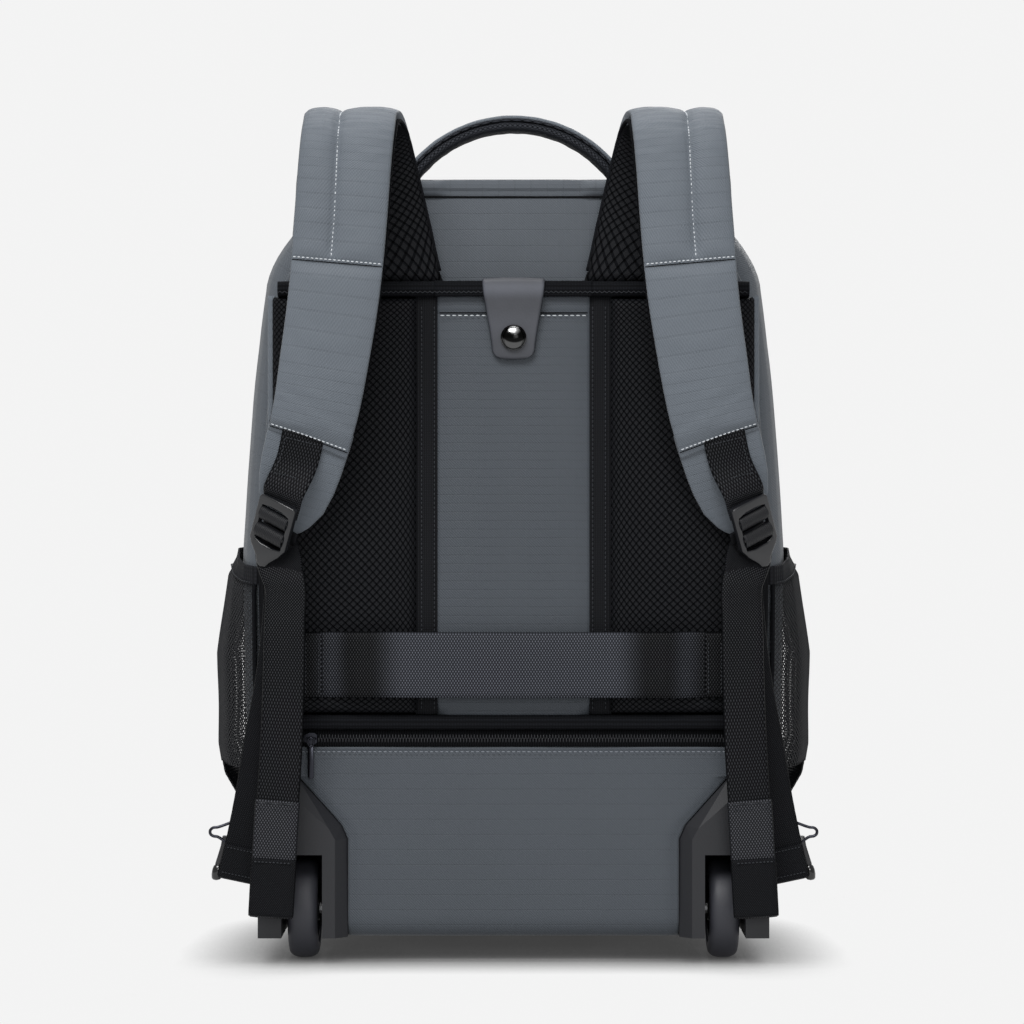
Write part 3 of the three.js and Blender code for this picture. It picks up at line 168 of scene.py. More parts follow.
def cloth(name, point, across, along, thick, material, size, hint=(0, -1, 0), rim=0.5):
    """A closed sheet. point(u, v) gives its outer surface in metres, thick is in mm, size is (width, length) in mm
    for the weave, and hint says roughly which way its outer face looks."""
    grid = [[Vector(point(i / across, j / along)) for i in range(across + 1)] for j in range(along + 1)]
    normals = []
    for j in range(along + 1):
        row = []
        for i in range(across + 1):
            du = grid[j][min(i + 1, across)] - grid[j][max(i - 1, 0)]
            dv = grid[min(j + 1, along)][i] - grid[max(j - 1, 0)][i]
            row.append(du.cross(dv).normalized())
        normals.append(row)
    middle = normals[along // 2][across // 2]
    sign = 1 if middle.dot(Vector(hint)) > 0 else -1
    outer, inner, uvs = [], [], []
    for j in range(along + 1):
        for i in range(across + 1):
            normal = normals[j][i] * sign
            outer.append(grid[j][i])
            inner.append(grid[j][i] - normal * thick * MM)
            uvs.append((i / across * size[0] * MM, j / along * size[1] * MM))
    wide = across + 1
    count = len(outer)
    faces = []
    for j in range(along):
        for i in range(across):
            a = j * wide + i
            faces.append((a, a + 1, a + wide + 1, a + wide))
            faces.append((count + a, count + a + wide, count + a + wide + 1, count + a + 1))
    ring = list(range(across)) + [j * wide + across for j in range(along)]
    ring += [along * wide + i for i in range(across, 0, -1)] + [j * wide for j in range(along, 0, -1)]
    points = outer + inner
    all_uvs = uvs + uvs
    start = len(points)
    for a in ring:
        j, i = divmod(a, wide)
        inward = grid[min(max(j, 1), along - 1)][min(max(i, 1), across - 1)]
        middle = (outer[a] + inner[a]) / 2
        away = (middle - inward).normalized() * thick * MM * rim * 0.6
        points.append(middle + away)
        all_uvs.append(uvs[a])
    for k, a in enumerate(ring):
        b = ring[(k + 1) % len(ring)]
        m, n = start + k, start + (k + 1) % len(ring)
        faces.append((a, b, n, m))
        faces.append((m, n, count + b, count + a))
    return face_out(new_object(name, points, faces, all_uvs, material))


def loft(name, rings, material, size=None, caps=True):
    """A solid through rings of equal length. size gives the weave's (girth, length) in mm."""
    count = len(rings[0])
    points = [Vector(p) for ring in rings for p in ring]
    size = size or (count, len(rings))
    uvs = [(k / count * size[0] * MM, i / len(rings) * size[1] * MM) for i in range(len(rings)) for k in range(count)]
    faces = []
    for i in range(len(rings) - 1):
        for k in range(count):
            a, b = i * count + k, i * count + (k + 1) % count
            faces.append((a, b, b + count, a + count))
    if caps:
        for end in (0, len(rings) - 1):
            middle = sum((Vector(p) for p in rings[end]), Vector()) / count
            points.append(middle)
            uvs.append(uvs[end * count])
            for k in range(count):
                faces.append((len(points) - 1, end * count + k, end * count + (k + 1) % count))
    return face_out(new_object(name, points, faces, uvs, material))


def tube(name, path, radius, material, sides=8, closed=False):
    """A round cord of that radius in mm along points in metres."""
    path = [Vector(p) for p in path]
    last = len(path) - 1
    rings = []
    normal = None
    for i, centre in enumerate(path):
        before = path[i - 1] if closed or i > 0 else path[0]
        after = path[(i + 1) % len(path)] if closed or i < last else path[last]
        along = (after - before).normalized()
        if normal is None:
            normal = along.orthogonal().normalized()
        normal = (normal - along * normal.dot(along)).normalized()
        side = along.cross(normal)
        rings.append([centre + (normal * c + side * s) * radius * MM for c, s in circle(sides)])
    if closed:
        rings.append(rings[0])
    obj = loft(name, rings, material, (2 * math.pi * radius, 100), caps=not closed)
    return face_out(obj, WELD) if closed else obj


def resample(path, step):
    """Points every step metres along a polyline."""
    path = [Vector(p) for p in path]
    points = [path[0]]
    left = step
    for low, high in zip(path, path[1:]):
        length = (high - low).length
        done = 0.0
        while length - done >= left:
            done += left
            points.append(low.lerp(high, done / length))
            left = step
        left -= length - done
    return points


def add_stitches(points, faces, marks, out_of, profile, radius, lie=1.0):
    """Adds a rounded stitch between every two marks. A profile row is (reach along it, share of radius, lift)."""
    for low, high in zip(marks, marks[1:]):
        out = out_of(low)
        along = (high - low).normalized()
        side = along.cross(out).normalized()
        rings = []
        for reach, size, lift in profile:
            middle = (low + high) / 2 + (along * reach + out * lift) * MM
            rings.append([middle + (side * c + out * s * lie) * radius * size * MM for c, s in circle(6)])
        add_rings(points, faces, rings)


def stitches(name, paths, outward, material, pitch=3.4, length=2.4, radius=0.42):
    """Thread lying along paths (lists of points in metres) as separate rounded stitches. Sizes in mm."""
    points, faces = [], []
    out = Vector(outward).normalized()
    half = length / 2
    profile = [(-half, 0.35, -0.3 * radius), (-0.6 * half, 1, 0.15 * radius),
               (0.6 * half, 1, 0.15 * radius), (half, 0.35, -0.3 * radius)]
    for path in paths:
        add_stitches(points, faces, resample(path, pitch * MM), lambda _: out, profile, radius)
    return new_object(name, points, faces, None, material)


def lathe(name, profile, centre, axis, material, segments=48, sharp=SHARP):
    """profile is (radius, distance along axis) in mm. It closes on the axis or on itself."""
    axis = Vector(axis).normalized()
    one = axis.orthogonal().normalized()
    two = axis.cross(one)
    rings = []
    for radius, distance in profile:
        middle = Vector(centre) + axis * distance * MM
        rings.append([middle + (one * c + two * s) * max(radius, 1e-4) * MM for c, s in circle(segments)])
    obj = face_out(loft(name, rings, material, (100, 30), caps=profile[0][0] == 0), WELD)
    obj.data.set_sharp_from_angle(angle=math.radians(sharp))
    return obj


def bevelled(obj, width, segments=3, angle=30):
    modifier = obj.modifiers.new("bevel", "BEVEL")
    modifier.width = width * MM
    modifier.segments = segments
    modifier.limit_method = "ANGLE"
    modifier.angle_limit = math.radians(angle)
    modifier.harden_normals = False
    return obj


def apply_modifiers(obj):
    depsgraph = bpy.context.evaluated_depsgraph_get()
    mesh = bpy.data.meshes.new_from_object(obj.evaluated_get(depsgraph))
    obj.modifiers.clear()
    obj.data = mesh
    return obj


def thicken(obj, thick, offset=0.0):
    """Gives an open sheet a wall of that many mm."""
    wall = obj.modifiers.new("wall", "SOLIDIFY")
    wall.thickness = thick * MM
    wall.offset = offset
    return apply_modifiers(obj)


def plate(name, outline, off_low, off_high, material, bevel=0.6, holes=(), place=None, segments=2):
    """A flat piece: outline and holes are (x, z) in mm, between two distances from the harness wall.
    place, a matrix, sets it elsewhere."""
    work = bmesh.new()
    edges = []
    for loop in (outline, *holes):
        verts = [work.verts.new((x * MM, 0, z * MM)) for x, z in loop]
        edges += [work.edges.new((verts[k], verts[(k + 1) % len(verts)])) for k in range(len(verts))]
    bmesh.ops.triangle_fill(work, use_beauty=True, use_dissolve=True, edges=edges)
    faces = bmesh.ops.extrude_face_region(work, geom=work.faces[:])
    top = [item for item in faces["geom"] if isinstance(item, bmesh.types.BMVert)]
    bmesh.ops.translate(work, verts=top, vec=(0, -(off_high - off_low) * MM, 0))
    bmesh.ops.recalc_face_normals(work, faces=work.faces)
    mesh = bpy.data.meshes.new(name)
    work.to_mesh(mesh)
    work.free()
    mesh.transform(place or Matrix.Translation((0, BACK_Y - off_low * MM, 0)))
    mesh.materials.append(material)
    obj = bpy.data.objects.new(name, mesh)
    bpy.context.scene.collection.objects.link(obj)
    apply_modifiers(bevelled(obj, bevel, segments))
    for polygon in obj.data.polygons:
        polygon.use_smooth = True
    obj.data.set_sharp_from_angle(angle=math.radians(SHARP))
    return obj


def rounded(x0, x1, z0, z1, radius, steps=4):
    corners = [(x1 - radius, z0 + radius, -90), (x1 - radius, z1 - radius, 0),
               (x0 + radius, z1 - radius, 90), (x0 + radius, z0 + radius, 180)]
    points = []
    for x, z, start in corners:
        for k in range(steps + 1):
            angle = math.radians(start + 90 * k / steps)
            points.append((x + radius * math.cos(angle), z + radius * math.sin(angle)))
    return points


def mirror_x(obj, name):
    """A copy of a left piece for the right side."""
    copy = obj.copy()
    copy.data = obj.data.copy()
    copy.name = name
    copy.data.name = name
    copy.data.transform(Matrix.Scale(-1, 4, (1, 0, 0)))
    copy.data.flip_normals()
    bpy.context.scene.collection.objects.link(copy)
    return copy


def lay_weave(obj, across, along):
    """Lays the weave by place, with two of the axes (0 x, 1 y, 2 z)."""
    layer = obj.data.uv_layers["weave"]
    for loop in obj.data.loops:
        spot = obj.data.vertices[loop.vertex_index].co
        layer.data[loop.index].uv = (spot[across], spot[along])


def dress(obj, body="root", stands_for=()):
    """Fastens a piece to a body and hides the CAD nodes it stands for."""
    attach(obj, body)
    if stands_for:
        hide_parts(*stands_for)
    return obj


def dress_pair(obj, body="root", stands_for=()):
    """Dresses a piece named ..._left and its mirrored copy."""
    right = mirror_x(obj, obj.name.replace("_left", "_right"))
    sided = {"left": obj, "right": right}
    for side, piece in sided.items():
        where = body if body == "root" else f"{body}_{side}"
        dress(piece, where, [f"{node}_{side}" for node in stands_for])
    return obj, right


# Finishes

def colour_of(text):
    """A linear colour from six hex digits."""
    parts = [int(text[k:k + 2], 16) / 255 for k in (0, 2, 4)]
    return tuple(((p + 0.055) / 1.055) ** 2.4 if p > 0.04045 else p / 12.92 for p in parts) + (1,)


class Finish:
    """A procedural material round the Principled shader, with the weave's coordinates in mm."""

    def __init__(self, name, colour, roughness, **sockets):
        self.material = bpy.data.materials.new(name)
        self.material.use_nodes = True
        self.tree = self.material.node_tree
        self.shader = self.tree.nodes["Principled BSDF"]
        self.base = colour_of(colour)
        self.put(self.shader, "Base Color", self.base)
        self.put(self.shader, "Roughness", roughness)
        for socket, value in sockets.items():
            self.put(self.shader, socket.replace("_", " "), value)

    def put(self, node, socket, value):
        if isinstance(value, bpy.types.NodeSocket):
            self.tree.links.new(value, node.inputs[socket])
        else:
            node.inputs[socket].default_value = value

    def gloss(self, value):
        self.put(self.shader, "Specular IOR Level", value)

    def math(self, operation, first, second=0.0, third=0.0):
        node = self.tree.nodes.new("ShaderNodeMath")
        node.operation = operation
        for index, value in enumerate((first, second, third)):
            self.put(node, index, value)
        return node.outputs[0]

    def plus(self, first, second):
        return self.math("ADD", first, second)

    def times(self, first, second):
        return self.math("MULTIPLY", first, second)

    def scaled(self, value, factor, start):
        """value times factor, plus start."""
        return self.math("MULTIPLY_ADD", value, factor, start)

    def spot(self):
        """The x, y and z of the piece's own place, in mm."""
        split = self.tree.nodes.new("ShaderNodeSeparateXYZ")
        self.put(split, 0, self.place(1000))
        return split.outputs

    def weave(self):
        """The weave's u and v in mm."""
        source = self.tree.nodes.new("ShaderNodeUVMap")
        source.uv_map = "weave"
        turned = self.tree.nodes.new("ShaderNodeMapping")
        self.put(turned, "Vector", source.outputs[0])
        turned.inputs["Scale"].default_value = (1000, 1000, 1000)
        split = self.tree.nodes.new("ShaderNodeSeparateXYZ")
        self.put(split, 0, turned.outputs[0])
        return split.outputs[0], split.outputs[1]

    def place(self, scale=1.0):
        source = self.tree.nodes.new("ShaderNodeTexCoord")
        turned = self.tree.nodes.new("ShaderNodeMapping")
        self.put(turned, "Vector", source.outputs["Object"])
        turned.inputs["Scale"].default_value = (scale, scale, scale)
        return turned.outputs[0]

    def noise(self, scale, detail=3.0):
        node = self.tree.nodes.new("ShaderNodeTexNoise")
        self.put(node, "Vector", self.place())
        self.put(node, "Scale", scale)
        self.put(node, "Detail", detail)
        return node.outputs["Fac"]

    def ramp(self, value, low, high, at_low=0.0, at_high=1.0):
        node = self.tree.nodes.new("ShaderNodeMapRange")
        node.interpolation_type = "SMOOTHSTEP"
        for socket, entry in (("Value", value), ("From Min", low), ("From Max", high),
                              ("To Min", at_low), ("To Max", at_high)):
            self.put(node, socket, entry)
        return node.outputs[0]

    def wave(self, value, pitch):
        """Runs 0 to 1 and back once every pitch."""
        angle = self.times(value, 2 * math.pi / pitch)
        return self.scaled(self.math("SINE", angle), 0.5, 0.5)

    def line(self, value, pitch, width):
        """1 on thin lines that are pitch apart, 0 between them."""
        part = self.math("FRACT", self.math("DIVIDE", value, pitch))
        away = self.times(self.math("ABSOLUTE", self.math("SUBTRACT", part, 0.5)), pitch)
        return self.ramp(away, width * 0.3, width * 0.7, 1.0, 0.0)

    def tone(self, factor):
        """Multiplies the colour by a grey factor."""
        node = self.tree.nodes.new("ShaderNodeVectorMath")
        node.operation = "SCALE"
        linked = self.shader.inputs["Base Color"].links
        self.put(node, 0, linked[0].from_socket if linked else self.base[:3])
        self.put(node, "Scale", factor)
        self.tree.links.new(node.outputs[0], self.shader.inputs["Base Color"])
        return self

    def bump(self, height, distance, strength=1.0):
        node = self.tree.nodes.new("ShaderNodeBump")
        self.put(node, "Height", height)
        self.put(node, "Distance", distance * MM)
        self.put(node, "Strength", strength)
        linked = self.shader.inputs["Normal"].links
        if linked:
            self.put(node, "Normal", linked[0].from_socket)
        self.tree.links.new(node.outputs[0], self.shader.inputs["Normal"])
        return self


def ripstop(name, colour, wide, tall, grid=0.13):
    """Coated twill with a faint grid of thicker yarns: solid lines along it, dotted lines across it."""
    finish = Finish(name, colour, 0.58, Sheen_Weight=0.1, Sheen_Roughness=0.5)
    finish.gloss(0.3)
    u, v = finish.weave()
    twill = finish.wave(finish.plus(u, v), 1.9)
    cross = finish.wave(finish.math("SUBTRACT", u, v), 1.5)
    dots = finish.scaled(finish.wave(u, 1.8), 0.75, 0.25)
    across = finish.times(finish.line(v, tall, 0.8), dots)
    length = finish.line(u, wide, 0.7)
    cells = finish.noise(1100, 2.0)
    blotch = finish.noise(9, 3.0)
    height = finish.scaled(cross, 0.5, finish.scaled(across, -1.2, twill))
    height = finish.scaled(length, 0.5, height)
    finish.bump(height, 0.14, 0.8)
    tone = finish.scaled(across, -grid, 0.82)
    tone = finish.scaled(length, grid * 0.35, tone)
    tone = finish.scaled(twill, 0.13, tone)
    tone = finish.scaled(cross, 0.08, tone)
    tone = finish.scaled(cells, 0.2, tone)
    tone = finish.scaled(blotch, 0.16, finish.math("SUBTRACT", tone, 0.08))
    finish.tone(tone)
    return finish.material


def twill_band(name, colour, pitch=1.9, glint=0.3, contrast=1.9, sheen=None):
    """Narrow woven band: dark, with a painted glint, a light dash, on each yarn. sheen(finish) gives a painted sheen,
    a factor by place.
    """
    finish = Finish(name, colour, 0.5)
    u, v = finish.weave()
    one = finish.wave(finish.scaled(v, 0.62, u), pitch)
    two = finish.wave(finish.scaled(v, -0.62, u), pitch)
    height = finish.times(one, two)
    fuzz = finish.noise(1500, 2.0)
    finish.bump(finish.scaled(fuzz, 0.25, height), 0.3, 0.9)
    tone = finish.scaled(finish.ramp(height, 0.15, 0.8), contrast, 0.4)
    if sheen:
        tone = finish.times(tone, sheen(finish))
    finish.tone(tone)
    finish.gloss(finish.scaled(height, glint, 0.04))
    return finish.material


def luggage_painted_sheen(finish):
    """Painted sheen: lighter colour on the strap's flat middle and where it bends down to its ends, for the light they
    catch.
    """
    away = finish.math("ABSOLUTE", finish.plus(finish.spot()[0], finish.times(finish.noise(12), 6)))
    middle = finish.ramp(away, 68, 92, 1.0, 0.0)
    bend = finish.times(finish.ramp(away, 104, 117), finish.ramp(away, 117, 131, 1.0, 0.0))
    share = finish.scaled(bend, 0.5, middle)
    return finish.scaled(share, 4.8, 0.65)


def ribbed(name, colour, across=2.2, along=0.0, roughness=0.7, depth=0.35, shine=0.15):
    """Knit or webbing with ribs across u, and along v where asked."""
    finish = Finish(name, colour, roughness)
    finish.gloss(shine)
    u, v = finish.weave()
    height = finish.wave(u, across) if across else finish.wave(v, along)
    if across and along:
        height = finish.times(height, finish.scaled(finish.wave(v, along), 0.6, 0.4))
    fuzz = finish.noise(1500, 2.0)
    finish.bump(finish.scaled(fuzz, 0.3, height), depth, 0.9)
    finish.tone(finish.scaled(height, 1.0, 0.55))
    return finish.material


def spacer_mesh(name, colour, size=1.0):
    """Black spacer knit: raised lozenges with thin gaps and a small hole where the gaps cross, gaps and holes painted
    dark as shade in these recesses.
    """
    finish = Finish(name, colour, 0.6)
    u, v = finish.weave()
    u, v = finish.math("DIVIDE", u, 6.0 * size), finish.math("DIVIDE", v, 6.6 * size)
    one = finish.wave(finish.plus(u, v), 1.0)
    two = finish.wave(finish.math("SUBTRACT", u, v), 1.0)
    lozenge = finish.ramp(finish.math("MINIMUM", one, two), -0.06, 0.3)
    hole = finish.ramp(finish.plus(one, two), 0.05, 0.34)
    knit = finish.noise(1300, 2.0)
    height = finish.scaled(hole, 0.5, finish.scaled(knit, 0.25, lozenge))
    finish.bump(height, 0.9, 1.0)
    tone = finish.times(hole, finish.scaled(lozenge, 0.35, 0.62))
    tone = finish.scaled(knit, 0.5, finish.plus(tone, -0.15))
    finish.tone(finish.math("MAXIMUM", tone, 0.05))
    finish.gloss(finish.scaled(lozenge, 0.1, 0.02))
    return finish.material


def moulded(name, colour, roughness=0.42, grain=0.05, scale=1500, shine=0.4, **sockets):
    """Moulded plastic or rubber with a fine grain."""
    finish = Finish(name, colour, roughness, **sockets)
    finish.gloss(shine)
    finish.bump(finish.noise(scale, 2.0), grain, 0.6)
    wear = finish.noise(25, 4.0)
    finish.put(finish.shader, "Roughness", finish.scaled(wear, 0.16, roughness - 0.08))
    return finish.material


def tab_leather(name, colour):
    """Grained leather, with painted sheen: lighter bands where it bends over the edge and a little lower down."""
    finish = Finish(name, colour, 0.5)
    finish.gloss(0.35)
    z = finish.spot()[2]
    # Painted sheen: two lighter bands by height.
    band = finish.times(finish.ramp(z, 438, 446), finish.ramp(z, 447, 453, 1.0, 0.0))
    low = finish.times(finish.ramp(z, 408, 422), finish.ramp(z, 423, 436, 1.0, 0.0))
    tone = finish.scaled(band, 0.75, finish.scaled(low, 0.2, 0.82))
    tone = finish.scaled(finish.noise(60, 4.0), 0.3, finish.plus(tone, -0.15))
    finish.tone(tone)
    finish.bump(finish.noise(700, 3.0), 0.12, 0.7)
    return finish.material


def snap_metal(name):
    """Black polished metal, with a painted highlight where the dome faces the lamp above and a faint painted light
    round its lower part.
    """
    finish = Finish(name, "ffffff", 0.16, Metallic=1.0)
    spot = finish.spot()
    x = finish.plus(spot[0], -0.6)
    z = finish.times(finish.plus(spot[2], -SNAP_Z - 2.6), 1.15)
    away = finish.math("SQRT", finish.plus(finish.times(x, x), finish.times(z, z)))
    finish.tone(finish.plus(finish.ramp(away, 0.2, 4.6, 0.9, 0.008), finish.ramp(away, 9.3, 10.6, 0.0, 0.1)))
    return finish.material


def plain_metal(name, colour, roughness, brushed=0.0):
    finish = Finish(name, colour, roughness, Metallic=1.0)
    if brushed:
        scratch = finish.noise(2200, 1.0)
        finish.put(finish.shader, "Roughness", finish.scaled(scratch, brushed, roughness - brushed / 2))
    return finish.material


def thread(name, colour, shine=0.2):
    finish = Finish(name, colour, 0.5)
    finish.gloss(shine)
    finish.tone(finish.scaled(finish.noise(700, 1.0), 0.3, 0.85))
    return finish.material


SNAP_Z = 416.3
# The straps, middle panel and lower pocket are the body's grey fabric in lit and shaded copies: the straps' copy is
# painted lighter for the light on them, and the middle panel's and lower pocket's copies are painted darker as shade.
LIT_STRAP_GREY = ripstop("strap_fabric", "545a61", 10.4, 6.0, grid=0.09)
BODY_GREY = ripstop("body_fabric", "464b51", 5.3, 10.7)
SHADED_CENTRE_GREY = ripstop("centre_fabric", "393e44", 10.6, 5.7)
SHADED_POCKET_GREY = ripstop("pocket_fabric", "3d4248", 5.3, 10.0, grid=0.09)
SEAM_SHADE = ribbed("seam_shade", "0e0f11", 1.6, 1.6, shine=0.05)
AIR_MESH = spacer_mesh("air_mesh", "111215", 0.72)
HANDLE_MESH = spacer_mesh("handle_mesh", "2b2d32", 0.55)
BORDER = ribbed("border_fabric", "111215", 1.6, 1.6, 0.7, 0.25, 0.1)
FUZZY = ribbed("binding_fabric", "101114", 1.3, 1.9, 0.8, 0.3, 0.06)
WEBBING = twill_band("webbing", "131417")
# The tail's fold is a lighter copy of the webbing: painted sheen where it catches the light.
LIT_FOLD_WEBBING = twill_band("fold_webbing", "2b2c30", glint=0.4)
LUGGAGE_WEBBING = twill_band("luggage_webbing", "141518", sheen=luggage_painted_sheen)
RIBBED_WEBBING = ribbed("ribbed_webbing", "131417", 1.3, 0.0, 0.45, 0.35, 0.3)
SUEDE = twill_band("suede_webbing", "17181b", 1.2, 0.1, 1.2)
ELASTIC = ribbed("elastic", "15161a", 1.9, 2.8)
YARN = thread("net_yarn", "131418", 0.5)
ZIP_TEETH = moulded("zip_coil", "17181c", 0.35)
ZIP_TAPE = ribbed("zip_tape", "0c0d0f", 0, 1.6, shine=0.06)
PLASTIC = moulded("moulded_plastic", "141518", 0.4)
SATIN = moulded("satin_plastic", "151619", 0.25, 0.03, 1600, 0.6)
HOUSING = moulded("housing_plastic", "1a1b1f", 0.5, 0.12, 1100)
TYRE = moulded("tyre_rubber", "2d2e34", 0.55, 0.1, 900, 0.4)
TAB = tab_leather("tab_leather", "3b3d43")
GLOSS = Finish("gloss_black", "020203", 0.12, Coat_Weight=0.5, Coat_Roughness=0.06).material
SNAP = snap_metal("snap_metal")
GUNMETAL = plain_metal("gunmetal", "33343a", 0.26)
STEEL = plain_metal("steel", "b5b6b8", 0.3, 0.1)
ALUMINIUM = plain_metal("aluminium", "9b9da1", 0.34, 0.12)
PALE_THREAD = thread("pale_thread", "b2b6ba")
GREY_THREAD = thread("grey_thread", "6d7178")
DARK_THREAD = thread("dark_thread", "26282c")


# The bag's own shape, from the same tables as the CAD source

BAG_HALF_WIDTH, BAG_DEPTH, BAG_BOTTOM, BAG_TOP = 185, 205, 18, 521
SIDE_STEPS, CORNER_STEPS = 34, 16
TOP_LIFT, CORNER_Z, ROLL_HALF, ROLL_FLAT = 4.2, 0.44, 123, (44, 52)
BAG_CORNER_WIDTH, BAG_CORNER_HEIGHT, BAG_FOOT_RADIUS, BAG_ROUNDNESS = 92, 72, 14, 1.15
BAG_SECTIONS = [(0, 1, 0), (0.02, 0.6, 0), (0.06, 0.3, 0), (0.13, 0.1, 0), (0.26, 0, 0), (0.5, 0, 0.02),
                (0.72, 0, 0.13), (0.87, 0, 0.36), (0.96, 0, 0.66), (1, 0, 1)]
BACK_EDGE = {"side": 20, "top": 15, "foot": 6}
FRONT_EDGE = {"side": 34, "top": 54, "foot": 12}
BAG_SIDES = [(0, 0.93), (0.15, 0.975), (0.35, 0.992), (0.5, 1), (0.62, 0.98), (0.72, 0.96), (0.8, 0.936),
             (0.86, 0.915)]
HOUSING_INNER_X, HOUSING_TOP, HOUSING_SHOULDER, HOUSING_RUN, HOUSING_DEPTH = 110, 124, 82, 34, 64


def edge_inset(share, edge):
    return table(BAG_SECTIONS, share, 1) * BACK_EDGE[edge] + table(BAG_SECTIONS, share, 2) * FRONT_EDGE[edge]


def bag_side(depth, z):
    """Half width of the bag at a depth from the harness wall and a height, in mm."""
    share = depth / BAG_DEPTH
    low = BAG_BOTTOM + edge_inset(share, "foot")
    high = BAG_TOP - edge_inset(share, "top")
    return table(BAG_SIDES, (z - low) / (high - low), 1) * BAG_HALF_WIDTH - edge_inset(share, "side")


def bag_ring(share, grow=0.0):
    """Half outline, from the middle of the bottom to the middle of the top, of (x, z) in mm."""
    low = BAG_BOTTOM + edge_inset(share, "foot") - grow
    high = BAG_TOP - edge_inset(share, "top") + grow
    inset = edge_inset(share, "side") - grow

    def reach(z):
        return table(BAG_SIDES, (z - low) / (high - low), 1) * BAG_HALF_WIDTH - inset

    foot_top = low + BAG_FOOT_RADIUS
    corner_start = high - BAG_CORNER_HEIGHT
    points = [(0, low), (reach(foot_top) * 0.33, low), (reach(foot_top) * 0.66, low)]
    for k in range(6):
        angle = math.radians(-90 + 90 * k / 5)
        points.append((reach(foot_top) - BAG_FOOT_RADIUS * (1 - math.cos(angle)),
                       foot_top + BAG_FOOT_RADIUS * math.sin(angle)))
    for k in range(1, SIDE_STEPS):
        z = foot_top + (corner_start - foot_top) * k / SIDE_STEPS
        points.append((reach(z), z))
    for k in range(CORNER_STEPS + 1):
        angle = math.pi / 2 * k / CORNER_STEPS
        points.append((reach(corner_start) - BAG_CORNER_WIDTH * (1 - max(math.cos(angle), 0) ** BAG_ROUNDNESS),
                       corner_start + BAG_CORNER_HEIGHT * math.sin(angle) ** BAG_ROUNDNESS))
    edge = points[-1][0]
    points += [(edge * (1 - k / 10), high) for k in range(1, 11)]
    return points


def in_housing(x, depth, z, grow=0.0):
    """True inside the room that the wheel housing takes from the bag."""
    reach = HOUSING_INNER_X - grow
    if depth > HOUSING_DEPTH + grow:
        return False
    top = HOUSING_TOP + grow
    if abs(x) < reach or z > top:
        return False
    if z <= HOUSING_SHOULDER:
        return True
    corner_x = reach + HOUSING_RUN * 0.12
    corner_z = HOUSING_SHOULDER + (top - HOUSING_SHOULDER) * 0.22
    if z <= corner_z:
        return abs(x) > reach + (corner_x - reach) * (z - HOUSING_SHOULDER) / (corner_z - HOUSING_SHOULDER)
    return abs(x) > corner_x + (reach + HOUSING_RUN - corner_x) * (z - corner_z) / (top - corner_z)


def whole_ring(half):
    """A half outline and its mirror image."""
    return half + [(-x, z) for x, z in reversed(half[1:-1])]


def top_lift(depth, z):
    """How far the cloth rises along its rear top edge."""
    return TOP_LIFT * smooth(z, BAG_TOP - 45, BAG_TOP - 10) * (1 - smooth(depth, 22, 66))


def crease(x, depth, z, seed, strength=1.0):
    """A soft fold in slack cloth, 0 to 1 deep."""
    point = Vector((x * 0.011 + seed, depth * 0.014, z * 0.009 - seed))
    broad = noise.noise(point)
    fine = 1 - abs(noise.noise(point * 2.7 + Vector((3.1, seed, 1.7)))) * 2.2
    return strength * (0.5 + 0.5 * broad) * (0.55 + 0.45 * max(fine, 0))


def build_bag():
    shares = [0, 0.008, 0.02, 0.04, 0.06, 0.09, 0.13, 0.17, 0.21, 0.26]
    shares += [0.3 + 0.04 * k for k in range(15)] + [0.89, 0.92, 0.945, 0.965, 0.985, 1]
    rows = []
    for share in shares:
        depth = share * BAG_DEPTH
        row = []
        for x, z in whole_ring(bag_ring(share)):
            sag = crease(x, depth, z, 4.0) * 3.2 * smooth(depth, 8, 60) * smooth(z, 60, 140)
            sag += 1.6 * smooth(depth, 20, 90) * (0.5 + 0.5 * waver(depth * 0.03, z * 0.022, 9.0))
            side = Vector((x / 185, 0, (z - 270) / 430)).normalized() * sag
            row.append((x - side.x, depth, z - side.z + top_lift(depth, z)))
        rows.append(row)
    points, uvs = [], []
    girth = [0.0]
    for low, high in zip(rows[10], rows[10][1:]):
        girth.append(girth[-1] + math.hypot(high[0] - low[0], high[2] - low[2]))
    for row in rows:
        for index, (x, depth, z) in enumerate(row):
            points.append(at(x, -depth, z))
            uvs.append((depth * MM, girth[index] * MM))
    count = len(rows[0])
    faces = []
    for i in range(len(rows) - 1):
        for k in range(count):
            a, b = i * count + k, i * count + (k + 1) % count
            centre = [(rows[i][k][n] + rows[i + 1][(k + 1) % count][n]) / 2 for n in range(3)]
            if not in_housing(*centre, 1.0):
                faces.append((a, b, b + count, a + count))
    # The flat walls: grids that meet the first and last rings
    for row_index, depth in ((0, 0.0), (len(rows) - 1, float(BAG_DEPTH))):
        outline = rows[row_index]
        first, last = 3, count // 2 - 10
        columns = 20
        start = len(points)
        for k in range(first, last + 1):
            right = outline[k]
            left = outline[(count - k) % count]
            for c in range(columns + 1):
                share = c / columns
                x = left[0] + (right[0] - left[0]) * share
                z = left[2] + (right[2] - left[2]) * share
                near_edge = smooth(min(x - left[0], right[0] - x, z - outline[first][2], outline[last][2] - z), 0, 55)
                dent = crease(x, depth, z, 7.0 + row_index, 2.2) * near_edge
                inward = dent if row_index == 0 else -dent * 0.7
                points.append(at(x, -(depth + inward), z))
                uvs.append((x * MM, z * MM))
        wide = columns + 1
        for k in range(last - first):
            for c in range(columns):
                a = start + k * wide + c
                centre = sum((points[n] for n in (a, a + 1, a + wide + 1, a + wide)), Vector()) / 4
                if row_index == 0 and in_housing(centre.x / MM, 0.0, centre.z / MM, 1.0):
                    continue
                faces.append((a, a + 1, a + wide + 1, a + wide))
    obj = new_object("bag_cloth", points, faces, uvs, BODY_GREY)
    face_out(obj, 20 * WELD)
    thicken(obj, 2, -1)
    for polygon in obj.data.polygons:
        polygon.use_smooth = True
    dress(obj, stands_for=["bag_shell"])


